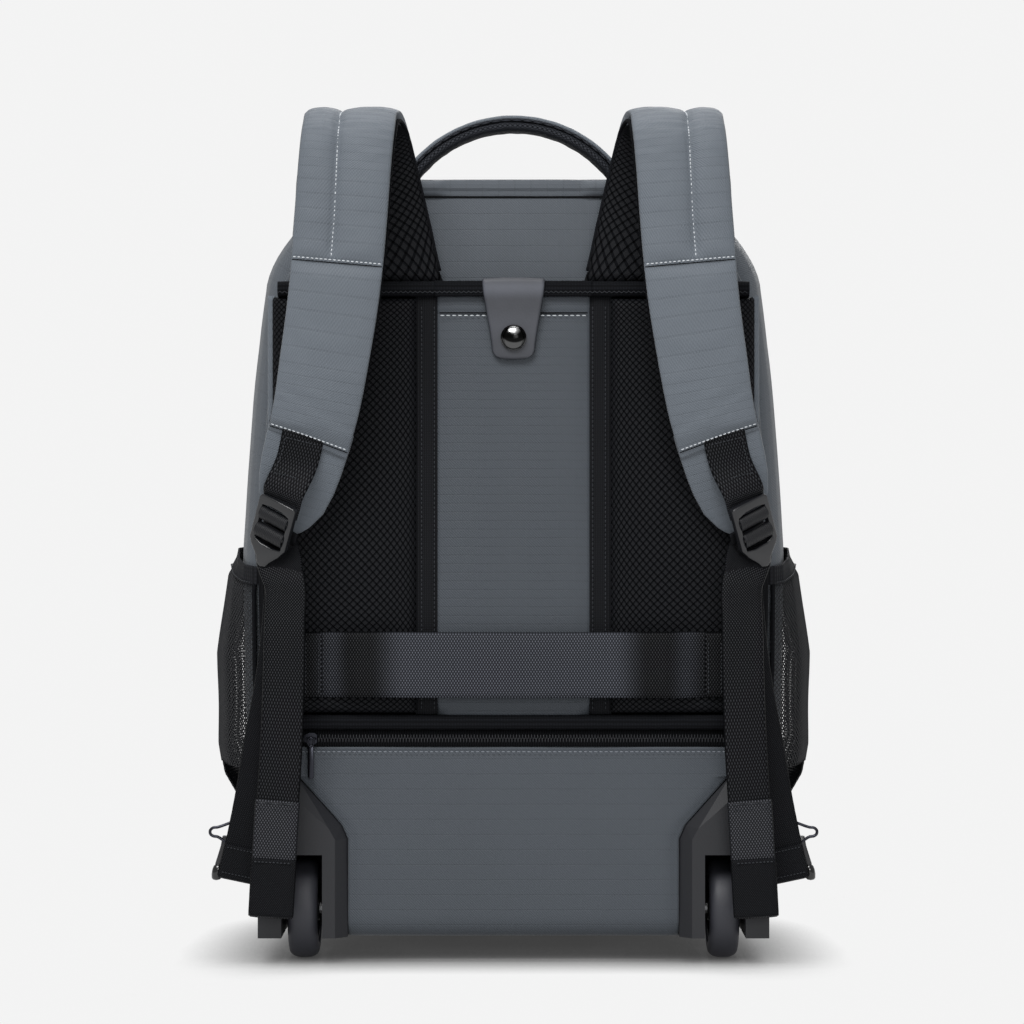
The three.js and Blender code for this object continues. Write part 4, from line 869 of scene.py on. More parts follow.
def piping_path(share, grow):
    """The seam's cord up the left side, over the top and down the right side, as three lists of places."""
    ring = whole_ring(bag_ring(share, grow))
    depth = share * BAG_DEPTH
    middle = len(ring) // 2
    kept = [(x, z) for x, z in ring[middle:] + ring[:middle] if not in_housing(x, depth, z, 3.0)]
    upper = [at(x, -depth, z) for x, z in kept if z > 50]
    left = sorted([p for p in upper if p.x < 0 and p.z < CORNER_Z], key=lambda p: p.z)
    over = sorted([p for p in upper if p.z >= CORNER_Z], key=lambda p: p.x)
    right = sorted([p for p in upper if p.x > 0 and p.z < CORNER_Z], key=lambda p: -p.z)
    return left, over, right


def build_pipings():
    """Rolled seams round the harness wall, where the rolled cloth takes its place along the top, and the front."""
    left, over, right = piping_path(0.012, -0.6)
    over = [p + Vector((0, 0, top_lift(0, p.z / MM) * MM)) for p in over]
    dress(tube("rear_piping_left", left + [p for p in over if p.x < -0.118], 2.1, BODY_GREY))
    dress(tube("rear_piping_right", [p for p in over if p.x > 0.118] + right, 2.1, BODY_GREY))
    left, over, right = piping_path(0.955, -0.4)
    dress(tube("front_piping", left + over + right, 1.9, FUZZY))


def build_top_roll():
    """The rolled cloth along the top of the harness wall, flat where the trolley handle rises past it."""
    half = ROLL_HALF
    rings = []
    for i in range(121):
        x = -half + 2 * half * i / 120
        size = 5.5 * (1 - 0.35 * smooth(abs(x), half - 18, half)) + 0.25 * waver(x * 0.03, 0, 5)
        depth = 0.6 + 2.8 * smooth(abs(x), *ROLL_FLAT)
        rings.append([at(x, 0.2 + depth * c, 514.6 + size * s) for c, s in circle(16)])
    dress(loft("top_roll", rings, BODY_GREY, (30, 2 * half)))
    # A dark cord below the roll: painted shade in the seam under it.
    seam = [at(x, 0.1 + 0.9 * smooth(abs(x), *ROLL_FLAT), 508.6) for x in range(-half, half + 1, 6)]
    dress(tube("top_roll_seam", seam, 0.7, SEAM_SHADE, 6))


build_bag()
build_pipings()
build_top_roll()


# Shoulder straps. Model places here are mm, y counted from the harness wall towards the front of the bag.

STRAP_THICK, STRAP_MESH_THICK, STRAP_SEAM_GAP, STRAP_WIDTH = 9, 4, 0.9, 60
STRAP_TOP_Z, STRAP_HEM_Z, STRAP_STAND_OFF, STRAP_ROOT_Z, STRAP_ROOT_TUCK = 557, 346, 66, 451.6, 9
STRAP_ROOT_X, STRAP_FRONT_X, STRAP_HEM_X = 77, 106, 133
STRAP_REAR = [(0, 0.12, 0), (0.35, 0.12, 0.3), (0.6, 0.13, 0.52), (0.78, 0.165, 0.68), (0.912, 0.26, 0.8),
              (0.977, 0.4, 0.88), (1, 0.56, 0.94)]
STRAP_FRONT = [(0.011, 0.73, 0), (0.042, 0.87, 0.02), (0.09, 0.96, 0.06), (0.18, 1, 0.12), (0.35, 1, 0.22),
               (0.56, 0.99, 0.37), (0.78, 0.95, 0.63), (0.9, 0.9, 0.8), (1, 0.84, 1)]
STRAP_WIDTHS = [(0, 1.03), (0.5, 1), (0.75, 1), (1, 0.9)]
CROSS_SEAM_Z = 461
SEAM_SHARES = [(0.1, 0.365), (0.3, 0.372), (0.6, 0.4), (0.72, 0.43), (1, 0.44)]


def world(point):
    return Vector((point[0] * MM, BACK_Y + point[1] * MM, point[2] * MM))


class Route:
    """A centripetal curve through points in mm, read by a share from 0 to 1."""

    def __init__(self, points):
        self.points = [Vector(p) for p in points]

    def point(self, share):
        last = len(self.points) - 1
        index = min(int(share * last), last - 1)
        weight = share * last - index
        p1, p2 = self.points[index], self.points[index + 1]
        p0 = self.points[index - 1] if index else p1 * 2 - p2
        p3 = self.points[index + 2] if index + 2 <= last else p2 * 2 - p1
        d0, d1, d2 = [(b - a).length ** 0.5 for a, b in ((p0, p1), (p1, p2), (p2, p3))]
        m1 = ((p1 - p0) / d0 - (p2 - p0) / (d0 + d1) + (p2 - p1) / d1) * d1
        m2 = ((p2 - p1) / d1 - (p3 - p1) / (d1 + d2) + (p3 - p2) / d2) * d1
        w2, w3 = weight ** 2, weight ** 3
        return p1 * (2 * w3 - 3 * w2 + 1) + m1 * (w3 - 2 * w2 + weight) + p2 * (3 * w2 - 2 * w3) + m2 * (w3 - w2)

    def along(self, share):
        low, high = max(share - 0.002, 0), min(share + 0.002, 1)
        return (self.point(high) - self.point(low)).normalized()

    def length(self, low=0.0, high=1.0):
        spots = [self.point(low + (high - low) * k / 200) for k in range(201)]
        return sum((b - a).length for a, b in zip(spots, spots[1:]))

    def frame(self, share):
        centre, along = self.point(share), self.along(share)
        side = Vector((1, 0, 0))
        side = (side - along * side.dot(along)).normalized()
        return centre, along, side, along.cross(side)


def strap_route():
    points = []
    for height, off, across in STRAP_REAR:
        z = STRAP_ROOT_Z - STRAP_ROOT_TUCK + (STRAP_TOP_Z - STRAP_ROOT_Z + STRAP_ROOT_TUCK) * height
        points.append((-(STRAP_ROOT_X + (STRAP_FRONT_X - STRAP_ROOT_X) * across), -STRAP_STAND_OFF * off, z))
    for drop, off, across in STRAP_FRONT:
        z = STRAP_TOP_Z - (STRAP_TOP_Z - STRAP_HEM_Z) * drop
        points.append((-(STRAP_FRONT_X + (STRAP_HEM_X - STRAP_FRONT_X) * across), -STRAP_STAND_OFF * off, z))
    return Route(points)


STRAP = strap_route()
STRAP_TOTAL = STRAP_THICK + STRAP_SEAM_GAP + STRAP_MESH_THICK
STRAP_SEAM = -STRAP_TOTAL / 2 + STRAP_MESH_THICK


def share_at_height(route, z, low, high):
    """The share between low and high where the route passes a height."""
    rising = route.point(high).z > route.point(low).z
    for _ in range(40):
        middle = (low + high) / 2
        if (route.point(middle).z < z) == rising:
            low = middle
        else:
            high = middle
    return (low + high) / 2


ROOT_SHARE = share_at_height(STRAP, STRAP_ROOT_Z + 0.5, 0, 0.3)
CROSS_SHARE = share_at_height(STRAP, CROSS_SEAM_Z, 0.5, 1)


def strap_width(share):
    return STRAP_WIDTH * table(STRAP_WIDTHS, share, 1)


def strap_point(share, across, out):
    """A place on the strap: across in mm from its middle towards the bag's middle, out in mm towards its grey side."""
    centre, _, side, face = STRAP.frame(share)
    return centre + side * across + face * out


def channel(u, low, high, power):
    w = min(max((u - low) / (high - low), 0), 1)
    return (4 * w * (1 - w)) ** power


def seam_share(share):
    """Where the long seam runs, as a share of the strap's width."""
    return table(SEAM_SHARES, share, 1)


def strap_height(share, u):
    """How far the grey cover stands out at u across, as a share of its thickness."""
    seam = seam_share(share)
    if u < seam:
        seamed = 0.32 + 0.64 * channel(u, -0.012, seam, 0.42)
    else:
        seamed = 0.36 + 0.64 * channel(u, seam, 1.012, 0.36)
    if abs(u - seam) < 0.14:
        seamed = max(seamed, 0.56 * (1 - smooth(abs(u - seam), 0.0, 0.14)))
    plain = 0.36 + 0.58 * channel(u, -0.012, 1.012, 0.3)
    place = smooth(share, CROSS_SHARE - 0.012, CROSS_SHARE + 0.004)
    height = seamed + (plain - seamed) * place
    length = (share - CROSS_SHARE) * 430 - 1.6
    height -= 0.26 * math.exp(-(length / 2.4) ** 2) * channel(u, 0, 1, 0.5)
    ripple = waver(share * 60, u * 3, 2.0) * 0.05 + waver(share * 170, u * 7, 5.0) * 0.02
    near_seam = math.exp(-((u - seam) / 0.06) ** 2) * (1 - place)
    ripple += near_seam * 0.05 * math.sin(share * 640)
    end = smooth(1 - share, 0, 0.03)
    return (height + ripple) * (0.45 + 0.55 * end)


def on_cover(share, u, lift=0.15):
    """A place on the grey cover, in mm."""
    out = STRAP_SEAM + STRAP_SEAM_GAP + STRAP_THICK * strap_height(share, u) + lift
    return strap_point(share, (u - 0.5) * strap_width(share), out)


def strap_cover_rings(steps, width_less, inside, outside, quilted):
    rings = []
    face_count, back_count = (40, 10) if quilted else (20, 14)
    for i in range(steps + 1):
        share = ROOT_SHARE + (1 - ROOT_SHARE) * i / steps
        width = strap_width(share) - width_less
        ring = []
        for k in range(face_count + 1):
            u = k / face_count
            u = ease(u, 0.35)
            if quilted:
                out = inside + (outside - inside) * strap_height(share, u)
            else:
                out = inside + (outside - inside) * (0.25 + 0.75 * channel(u, -0.01, 1.01, 0.25))
            low_hem = 7 * u ** 1.6 if quilted else 0
            slip = STRAP.along(1) * low_hem * smooth(share, 0.97, 1)
            if not quilted:
                slip = STRAP.along(share) * (0.5 - u) * 17 * (1 - smooth(share, ROOT_SHARE, ROOT_SHARE + 0.04))
            ring.append(strap_point(share, (u - 0.5) * width, out) + slip)
        for k in range(1, back_count):
            u = 1 - k / back_count
            ring.append(strap_point(share, (u - 0.5) * (width - 1), inside))
        rings.append([world(p) for p in ring])
    return rings


def build_straps():
    length = STRAP.length(ROOT_SHARE, 1)
    girth = STRAP_WIDTH * 50 / 40
    rings = strap_cover_rings(210, 0, STRAP_SEAM + STRAP_SEAM_GAP, STRAP_TOTAL / 2, True)
    cover = loft("strap_cover_left", rings, LIT_STRAP_GREY, (girth, length))
    for piece in dress_pair(cover, stands_for=["shoulder_strap"]):
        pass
    rings = strap_cover_rings(110, 1.5, STRAP_SEAM, -STRAP_TOTAL / 2, False)
    mesh = loft("strap_lining_left", rings, AIR_MESH, (girth, length))
    for piece in dress_pair(mesh, stands_for=["strap_mesh"]):
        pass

    # Bound edges where the grey cover meets the lining
    for name, side, radius in (("inner", 1, 1.5), ("outer", -1, 1.1)):
        path = []
        for i in range(161):
            share = ROOT_SHARE + (0.995 - ROOT_SHARE) * i / 160
            wobble = 0.25 * waver(share * 40, side, 0)
            path.append(world(strap_point(share, side * (strap_width(share) / 2 - 0.6 + wobble), STRAP_SEAM + 0.2)))
        dress_pair(tube(f"strap_binding_{name}_left", path, radius, FUZZY))

    # Quilting seams
    start = share_at_height(STRAP, 505, 0.05, 0.35)
    shares = [start + (CROSS_SHARE - start) * i / 140 for i in range(141)]
    build_strap_seam("strap_seam_left", [[on_cover(share, seam_share(share)) for share in shares]], [shares])
    cross = [on_cover(CROSS_SHARE, 0.012 + 0.976 * i / 40) for i in range(41)]
    hem = []
    for i in range(41):
        u = 0.015 + 0.97 * i / 40
        hem.append(on_cover(0.988, u, 0.2) + STRAP.along(1) * 7 * u ** 1.6 * smooth(0.988, 0.97, 1))
    build_strap_seam("strap_cross_seam_left", [cross, hem], [[CROSS_SHARE] * len(cross), [0.99] * len(hem)])
    # Dark cords just below the cross seam and the hem: painted shade of the creases under the stitches.
    for name, line, share, lower in (("cross", cross, CROSS_SHARE, 1.7), ("hem", hem, 0.99, 1.6)):
        shift = STRAP.along(share) * lower - STRAP.frame(share)[3] * 0.25
        fold = tube(f"strap_{name}_fold_left", [world(p + shift) for p in line], 0.3, SEAM_SHADE, 6)
        dress_pair(fold)

    # The strap's black end, sewn under the binding
    def root(u, v):
        return at(-86 + 39.5 * u - 3.0 * v, 3.2 + 0.6 * math.sin(math.pi * u) - 0.5 * v, 450.2 + 8.5 * v)

    dress_pair(cloth("strap_root_left", root, 24, 10, 1.4, BORDER, (40, 14)))


def build_strap_seam(name, paths, shares):
    """Pale stitches that follow the strap's own outer side."""
    points, faces = [], []
    profile = [(-1.05, 0.4, -0.25), (-0.5775, 1, 0.1), (0.5775, 1, 0.1), (1.05, 0.4, -0.25)]
    for path, share_list in zip(paths, shares):
        placed = [world(p) for p in path]

        def out_of(spot):
            near = min(range(len(placed)), key=lambda n: (placed[n] - spot).length)
            return STRAP.frame(share_list[near])[3]

        add_stitches(points, faces, resample(placed, 2.9 * MM), out_of, profile, 0.42, 0.8)
    dress_pair(face_out(new_object(name, points, faces, None, PALE_THREAD)))


build_straps()


# Flap, webbing and lock below each strap

WEB_WIDTH, WEB_THICK = 26, 1.6
TONGUE_LENGTH, TONGUE_THICK, TONGUE_FALL = 62, 2, 0.186
TONGUE_SHAPE = [(0, 1), (0.3, 0.97), (0.5, 0.92), (0.72, 0.8), (0.88, 0.58), (0.96, 0.4), (1, 0.2)]
LOCK_CENTRE = Vector((-156.6, -47.5, 289.7))
LOCK_RIGHT = Vector((0.815, -0.398, -0.42)).normalized()
LOCK_DOWN = Vector((-0.26, 0.398, -0.88)).normalized()
LOCK_DOWN = (LOCK_DOWN - LOCK_RIGHT * LOCK_DOWN.dot(LOCK_RIGHT)).normalized()
LOCK_OUT = LOCK_DOWN.cross(LOCK_RIGHT)


def on_lock(right, down, out=0.0):
    return LOCK_CENTRE + LOCK_RIGHT * right + LOCK_DOWN * down + LOCK_OUT * out


def tongue_centre(share):
    centre, along, _, _ = STRAP.frame(1)
    fall = STRAP_STAND_OFF * TONGUE_FALL * max(share, 0) ** 1.3
    return centre + along * (0.3 + TONGUE_LENGTH * share) + Vector((0, fall, 0))


def ribbon(name, route, width, thick, material, steps, low=0.0, high=1.0, shift=0.0, sides=None, bow=0.0, ripple=0.0):
    """Flat webbing along a route: shift moves it outward, bow rounds it, ripple gives it slight waves."""
    def point(u, v):
        share = low + (high - low) * v
        centre, along, side, face = route.frame(share)
        if sides:
            side = Vector(sides[0]).lerp(Vector(sides[1]), v).normalized()
            side = (side - along * side.dot(along)).normalized()
            face = along.cross(side)
        across = (u - 0.5) * width
        out = shift + thick / 2 - bow * (2 * u - 1) ** 2
        out += ripple * waver(share * 9, u * 1.5, width)
        edge = 0.12 * waver(share * 90, 1.0 if u > 0.5 else 4.0, 0) if u in (0, 1) else 0
        return world(centre + side * (across + edge * (2 * u - 1)) + face * out)

    return cloth(name, point, 8, steps, thick, material, (width, route.length(low, high)), rim=0.9)


def lock_frame():
    """The lock's moulded frame: wide top bar, narrow sides, a pull below the window."""
    half, top, low = 14.2, -18.5, 15.5
    outline = [(-half + 2.5, top), (half - 2, top), (half - 0.6, top + 0.6), (half, top + 2), (half, low - 3),
               (half - 3.5, low + 3), (5.2, low + 9.5), (3.2, low + 13.5), (-1, low + 14.8), (-4.6, low + 13),
               (-5.8, low + 9), (-half + 2.5, low + 2.5), (-half, low - 2), (-half, top + 3), (-half + 0.7, top + 1)]
    hole = [(-10.6, -11.3), (-3, -12.4), (5, -12.2), (10.6, -10.6), (10.8, 13.2), (5, 14.6), (-5, 14.4), (-10.4, 12.6)]
    matrix = Matrix((
        (LOCK_RIGHT.x, -LOCK_OUT.x, LOCK_DOWN.x, LOCK_CENTRE.x * MM),
        (LOCK_RIGHT.y, -LOCK_OUT.y, LOCK_DOWN.y, BACK_Y + LOCK_CENTRE.y * MM),
        (LOCK_RIGHT.z, -LOCK_OUT.z, LOCK_DOWN.z, LOCK_CENTRE.z * MM),
        (0, 0, 0, 1)))
    body = plate("lock_left", outline, -2.6, 2.6, SATIN, 1.1, [hole], matrix @ Matrix.Translation((0, 2.6 * MM, 0)), 3)
    return face_out(body)


def lock_rolls():
    """Webbing wrapped over the lock's two bars."""
    points, faces, uvs = [], [], []
    half = 10.8
    for centre, radius in ((-5.6, 4.0), (6.4, 4.4)):
        start = len(points)
        columns, rows = 30, 14
        for j in range(rows + 1):
            angle = math.radians(-100 + 290 * j / rows)
            for i in range(columns + 1):
                right = -half + 2 * half * i / columns
                reach = radius + 0.2 * waver(right * 0.4, j * 0.5, centre)
                spot = on_lock(right, centre - math.cos(angle) * reach, math.sin(angle) * reach * 0.85 + 0.3)
                points.append(world(spot))
                uvs.append((right * MM, radius * math.radians(290) * j / rows * MM))
        faces += grid_faces(start, columns, rows)
    return thicken(new_object("lock_webbing_left", points, faces, uvs, RIBBED_WEBBING), 1.4)


def build_lock():
    dress_pair(lock_frame(), stands_for=["ladder_lock"])
    dress_pair(lock_rolls())
    # Crosswise bars inside the rolls
    for index, down in enumerate((-5.6, 6.4)):
        ends = [world(on_lock(right, down)) for right in (-12.5, 12.5)]
        dress_pair(tube(f"lock_bar_{index}_left", ends, 1.9, SATIN, 10))


def build_flap():
    _, along, side, face = STRAP.frame(1)
    width, length = strap_width(1), TONGUE_LENGTH * 1.14

    def point(u, v):
        share = -0.14 + 1.14 * v
        half = (u - 0.5) * width * table(TONGUE_SHAPE, max(share, 0), 1)
        lean = -5.0 * share * (0.5 - u)
        curl = 1.6 * math.sin(u * math.pi) * smooth(share, 0, 0.4) + 0.8 * waver(u * 2, v * 3, 3)
        spot = tongue_centre(share) + side * (half - 2.5 * share) + face * (TONGUE_THICK / 2 + curl * 0.6 - 1)
        return world(spot + along * lean)

    flap = cloth("strap_flap_left", point, 24, 40, TONGUE_THICK, LIT_STRAP_GREY, (width, length))
    for piece in dress_pair(flap, stands_for=["strap_tongue"]):
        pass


def build_webbing():
    _, _, side, face = STRAP.frame(1)
    start = tongue_centre(-0.05) + face * 2.6 + side * -4
    middle = tongue_centre(0.26) + face * 3.4 + side * -4
    upper = Route([start, middle, on_lock(0, -24, -1.5), on_lock(0, -17, -2.6), on_lock(0, -9.8, -3.5)])
    piece = ribbon("upper_strap_left", upper, WEB_WIDTH, WEB_THICK, WEBBING, 40, sides=(side, LOCK_RIGHT))
    for piece in dress_pair(piece, stands_for=["upper_webbing"]):
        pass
    # Box of dark stitches where it is sewn to the flap
    lift = WEB_THICK / 2 + 0.2
    seams = [[spot_on(upper, share, u, lift, side) for u in (-11, 11)] for share in (0.06, 0.36)]
    seams += [[spot_on(upper, 0.06 + 0.3 * k / 8, u, lift, side) for k in range(9)] for u in (-11, 11)]
    dress_pair(stitches("upper_box_left", seams, face, DARK_THREAD, 2.6, 1.9, 0.4))

    tail = Route([on_lock(-0.5, 10, -4.6), on_lock(0.5, 18, -5.6), (-149.5, -43.5, 252), (-149.6, -44, 228),
                  (-150.3, -43.5, 190), (-152.2, -42.6, 140), (-155.4, -42, 90), (-158.6, -42, 34)])
    piece = ribbon("tail_webbing_left", tail, WEB_WIDTH + 0.6, WEB_THICK, WEBBING, 120,
                   sides=(LOCK_RIGHT, (1, 0, 0)), ripple=1.0, bow=0.5)
    length = tail.length()
    for piece in dress_pair(piece, stands_for=["webbing_tail"]):
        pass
    fold_low, end_low = 1 - 50 / length, 1 - 24 / length
    dress_pair(ribbon("tail_fold_left", tail, WEB_WIDTH + 1.6, WEB_THICK * 1.1, LIT_FOLD_WEBBING, 40, fold_low, 0.9985,
                      WEB_THICK, ripple=1.0, bow=0.6))
    dress_pair(ribbon("tail_end_left", tail, WEB_WIDTH + 2.2, WEB_THICK, SUEDE, 16, end_low, 0.9975,
                      WEB_THICK * 2, ripple=1.0, bow=0.7))
    rows = ((fold_low + 0.004, 2.6), (fold_low + 0.014, 2.6), (end_low + 0.004, 4.2))
    seams = [[spot_on(tail, share, u, out) for u in range(-13, 14, 2)] for share, out in rows]
    dress_pair(stitches("tail_seams_left", seams, HARNESS_OUT, DARK_THREAD, 2.4, 1.8, 0.45))

    anchor = Route([on_lock(1, 2, -7.2), on_lock(1.5, 14, -7.5), (-151.3, -40.5, 262), (-151.8, -36.5, 232),
                    (-156.5, -30, 190), (-164, -25, 148), (-171.5, -22.6, 104), (-181.6, -22.2, 55.5)])
    piece = ribbon("anchor_strap_left", anchor, WEB_WIDTH, WEB_THICK, SUEDE, 110,
                   sides=(LOCK_RIGHT, (0.97, 0, -0.16)), ripple=0.8, bow=0.5)
    length = anchor.length()
    for piece in dress_pair(piece, stands_for=["anchor_webbing"]):
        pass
    dress_pair(ribbon("anchor_fold_left", anchor, WEB_WIDTH + 0.4, WEB_THICK, SUEDE, 20, 1 - 15 / length, 0.999,
                      WEB_THICK, sides=((0.97, 0, -0.1), (0.97, 0, -0.16)), bow=0.5))
    seams = [[spot_on(anchor, 1 - end / length, u, 2.6) for u in range(-12, 13, 2)] for end in (14, 2.5)]
    dress_pair(stitches("anchor_seams_left", seams, HARNESS_OUT, DARK_THREAD, 2.2, 1.6, 0.4))


def spot_on(route, share, across, out, side=None):
    centre, _, own_side, face = route.frame(share)
    return world(centre + (own_side if side is None else side) * across + face * out)


def build_hook():
    """A moulded strip with a glossy round nub, and a wire loop threaded behind the webbing."""
    size = math.hypot(1, 0.35)
    path = [(-188, 84.5, 4.6), (-190.5, 78, 3.2), (-193.5, 71, 2.3), (-195, 65.5, 2.6)]
    left = [(x - half / size, z + 0.07 * half / size) for x, z, half in path]
    right = [(x + half / size, z - 0.07 * half / size) for x, z, half in path]
    strip = plate("hook_strip_left", left + right[::-1], 15.5, 19.0, SATIN, 0.7)
    dress_pair(strip, stands_for=["side_hook"])
    top, low = Vector((-195.2, -17.6, 66)), Vector((-196.6, -17.4, 55.2))
    rings = []
    nub = ((0, 0.4), (0.02, 1.9), (0.12, 2.9), (0.3, 3.5), (0.6, 3.7), (0.85, 3.3), (0.95, 2.4), (1, 0.5))
    for share, radius in nub:
        rings.append([world(top.lerp(low, share) + Vector((c, s, 0)) * radius) for c, s in circle(20)])
    dress_pair(loft("hook_nub_left", rings, GLOSS, (20, 14)))
    loop = [(-184, 94.6), (-190, 92.2), (-195.5, 90.4), (-198.6, 90), (-200.4, 88.3), (-200.3, 86), (-198.6, 84.6),
            (-195.5, 84), (-191, 81), (-187, 77.5), (-183, 77.5), (-181.5, 86)]
    route = Route([(x, -17.8 - 1.2 * smooth(-x, 185, 199), z) for x, z in loop + loop[:1]])
    path = [world(route.point(k / 96)) for k in range(96)]
    dress_pair(tube("wire_loop_left", path, 1.0, GUNMETAL, 10, True), stands_for=["side_ring"])


build_flap()
build_webbing()
build_lock()
build_hook()


# The padded back: binding, pads with stitched borders, middle panel, tab, luggage strap

SLEEVE_HALF, SLEEVE_DEPTH, PAD_OUTER, PAD_TOP, PAD_BOTTOM, PAD_THICK, PAD_BORDER = 50, 17, 160, 441, 165, 22, 15
PAD_INNER, PAD_LENGTH = SLEEVE_HALF + PAD_BORDER - 1.5, PAD_TOP - PAD_BOTTOM


def pad_height(x, z):
    """Distance of the pad's crown from the harness wall at x (its distance from the middle plane) and z."""
    roll = min(channel_of(x - PAD_INNER, 9), channel_of(PAD_OUTER - x, 13),
               channel_of(PAD_TOP - z, 7), channel_of(z - PAD_BOTTOM, 8))
    height = 13.0 + 8.6 * roll
    height += 0.7 * waver(x * 0.016, z * 0.013, 1.5) + 0.3 * waver(x * 0.05, z * 0.04, 7.5)
    height -= 1.1 * math.exp(-((z - 219) / 6) ** 2) * smooth(x, 70, 90)
    return height


def channel_of(distance, radius):
    """Rounding of an edge: 0 at the seam to 1 a radius away."""
    share = min(max(distance / radius, 0), 1)
    return math.sqrt(max(1 - (1 - share) ** 2.2, 0))


def build_pads():
    def crown(u, v):
        x = PAD_OUTER + (PAD_INNER - PAD_OUTER) * ease(u, 0.4)
        z = PAD_BOTTOM + PAD_LENGTH * ease(v, 0.3)
        return at(-x, pad_height(x, z), z)

    pad = cloth("pad_left", crown, 46, 110, 3, AIR_MESH, (96, 276))
    for piece in dress_pair(pad, stands_for=["back_pad"]):
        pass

    # The core that fills the pad, and the rolled gusset on its outer side
    outline = rounded(-PAD_OUTER + 1.5, -SLEEVE_HALF - PAD_BORDER + 4, PAD_BOTTOM + 1, PAD_TOP - 1, 4)
    dress_pair(plate("pad_core_left", outline, 0.3, 12.2, FUZZY, 1.5))
    heights = range(PAD_BOTTOM - 2, PAD_TOP + 3, 3)
    path = [at(-PAD_OUTER - 0.4, 11.8 + 0.4 * waver(0, z * 0.03, 0), z) for z in heights]
    dress_pair(tube("pad_gusset_left", path, 2.6, LIT_STRAP_GREY, 12))

    # Flat stitched border beside the middle panel
    def border(u, v):
        x = SLEEVE_HALF + 0.3 + (PAD_BORDER - 0.5) * (1 - u)
        z = PAD_BOTTOM + PAD_LENGTH * v
        swell = 0.8 * math.sin(math.pi * u) + 0.3 * waver(u * 2, z * 0.03, 2.2)
        return at(-x, 15.6 + swell, z)

    dress_pair(cloth("pad_border_left", border, 10, 80, 2.5, BORDER, (PAD_BORDER, 276)))
    outline = rounded(-SLEEVE_HALF - PAD_BORDER + 1, -SLEEVE_HALF - 0.6, PAD_BOTTOM + 0.5, PAD_TOP - 0.5, 2)
    dress_pair(plate("border_core_left", outline, 0.3, 13.2, FUZZY, 0.8))
    heights = range(PAD_BOTTOM + 3, PAD_TOP - 2, 4)
    rows = [[at(-x, 16.4, z) for z in heights] for x in (SLEEVE_HALF + 2.4, SLEEVE_HALF + PAD_BORDER - 4.2)]
    dress_pair(stitches("border_seams_left", rows, HARNESS_OUT, DARK_THREAD, 3.0, 2.2, 0.4))


def build_centre_panel():
    half = SLEEVE_HALF + 0.2

    def face(u, v):
        x = (2 * u - 1) * half
        z = PAD_BOTTOM - 0.6 + (PAD_TOP - PAD_BOTTOM + 1.5) * v
        side = 1 - (2 * u - 1) ** 4
        off = SLEEVE_DEPTH - 1.2 + 2.2 * side * math.sin(math.pi * min(max(v, 0.02), 0.98)) ** 0.4
        off += 0.7 * waver(x * 0.02, z * 0.012, 4.4) * side
        off -= 0.9 * math.exp(-((z - 430.5) / 1.3) ** 2)
        low = smooth(z, PAD_BOTTOM + 9, PAD_BOTTOM)
        off -= 2.2 * (smooth(abs(x), half - 8, half) * low)
        return at(x, off, z)

    panel = cloth("middle_panel", face, 44, 150, 1.6, SHADED_CENTRE_GREY, (2 * half, 277))
    dress(panel, stands_for=["centre_panel"])
    row = [at(x, SLEEVE_DEPTH + 1.4, 428.6) for x in range(-49, 50, 7)]
    dress(stitches("panel_seam", [row], HARNESS_OUT, PALE_THREAD, 3.9, 2.7, 0.34))
    # A dark cord above the seam: painted shade of the fold there.
    row = [at(x, SLEEVE_DEPTH + 0.6, 430.4) for x in range(-49, 50, 7)]
    dress(tube("panel_fold", row, 0.45, SEAM_SHADE, 6))


def binding_bar(name, low, high, step, z, half_z, off_range, uneven_of, size):
    """A woven binding folded over an edge: a rounded bar with slightly uneven edges."""
    rings = []
    count = int((high - low) / step)
    for i in range(count + 1):
        x = low + (high - low) * i / count
        back, front = off_range(x)
        ring = []
        for k, (c, s) in enumerate(circle(20)):
            uneven, z_share, seed = uneven_of
            uneven *= waver(x * 0.35, k * 0.8, seed)
            off = (back + front) / 2 + signed(s, 0.45) * (front - back) / 2 + uneven
            ring.append(at(x, off, z + signed(c, 0.6) * half_z + uneven * z_share))
        rings.append(ring)
    return loft(name, rings, FUZZY, size)


def binding_front(x):
    return 22.0 - 1.8 * smooth(abs(x), 140, 156)


def build_bands():
    for low, high, name, back in ((-156, -49.2, "binding_left", 0.5), (49.2, 156, "binding_right", 0.5),
                                  (-52, 52, "binding_middle", 17.4)):
        bar = binding_bar(name, low, high, 1.4, 446.3, 5.2, lambda x: (back, binding_front(x)),
                          (0.25, 1.2, 3.1), (22, high - low))
        dress(bar, stands_for=["pad_binding"])
    # Zigzag stitching along the binding's lower edge
    points = []
    for i in range(int(312 / 1.6)):
        x = -156 + i * 1.6
        points.append(at(x, binding_front(x) + 0.4, 443.2 + (1.3 if i % 2 else 0)))
    dress(tube("binding_zigzag", points, 0.25, DARK_THREAD, 5))
    bar = binding_bar("lower_binding", -156, 156, 3.0, 159.6, 5.0, lambda x: (0.5, 20), (0.22, 1.3, 15.46), (20, 312))
    dress(bar, stands_for=["lower_band"])


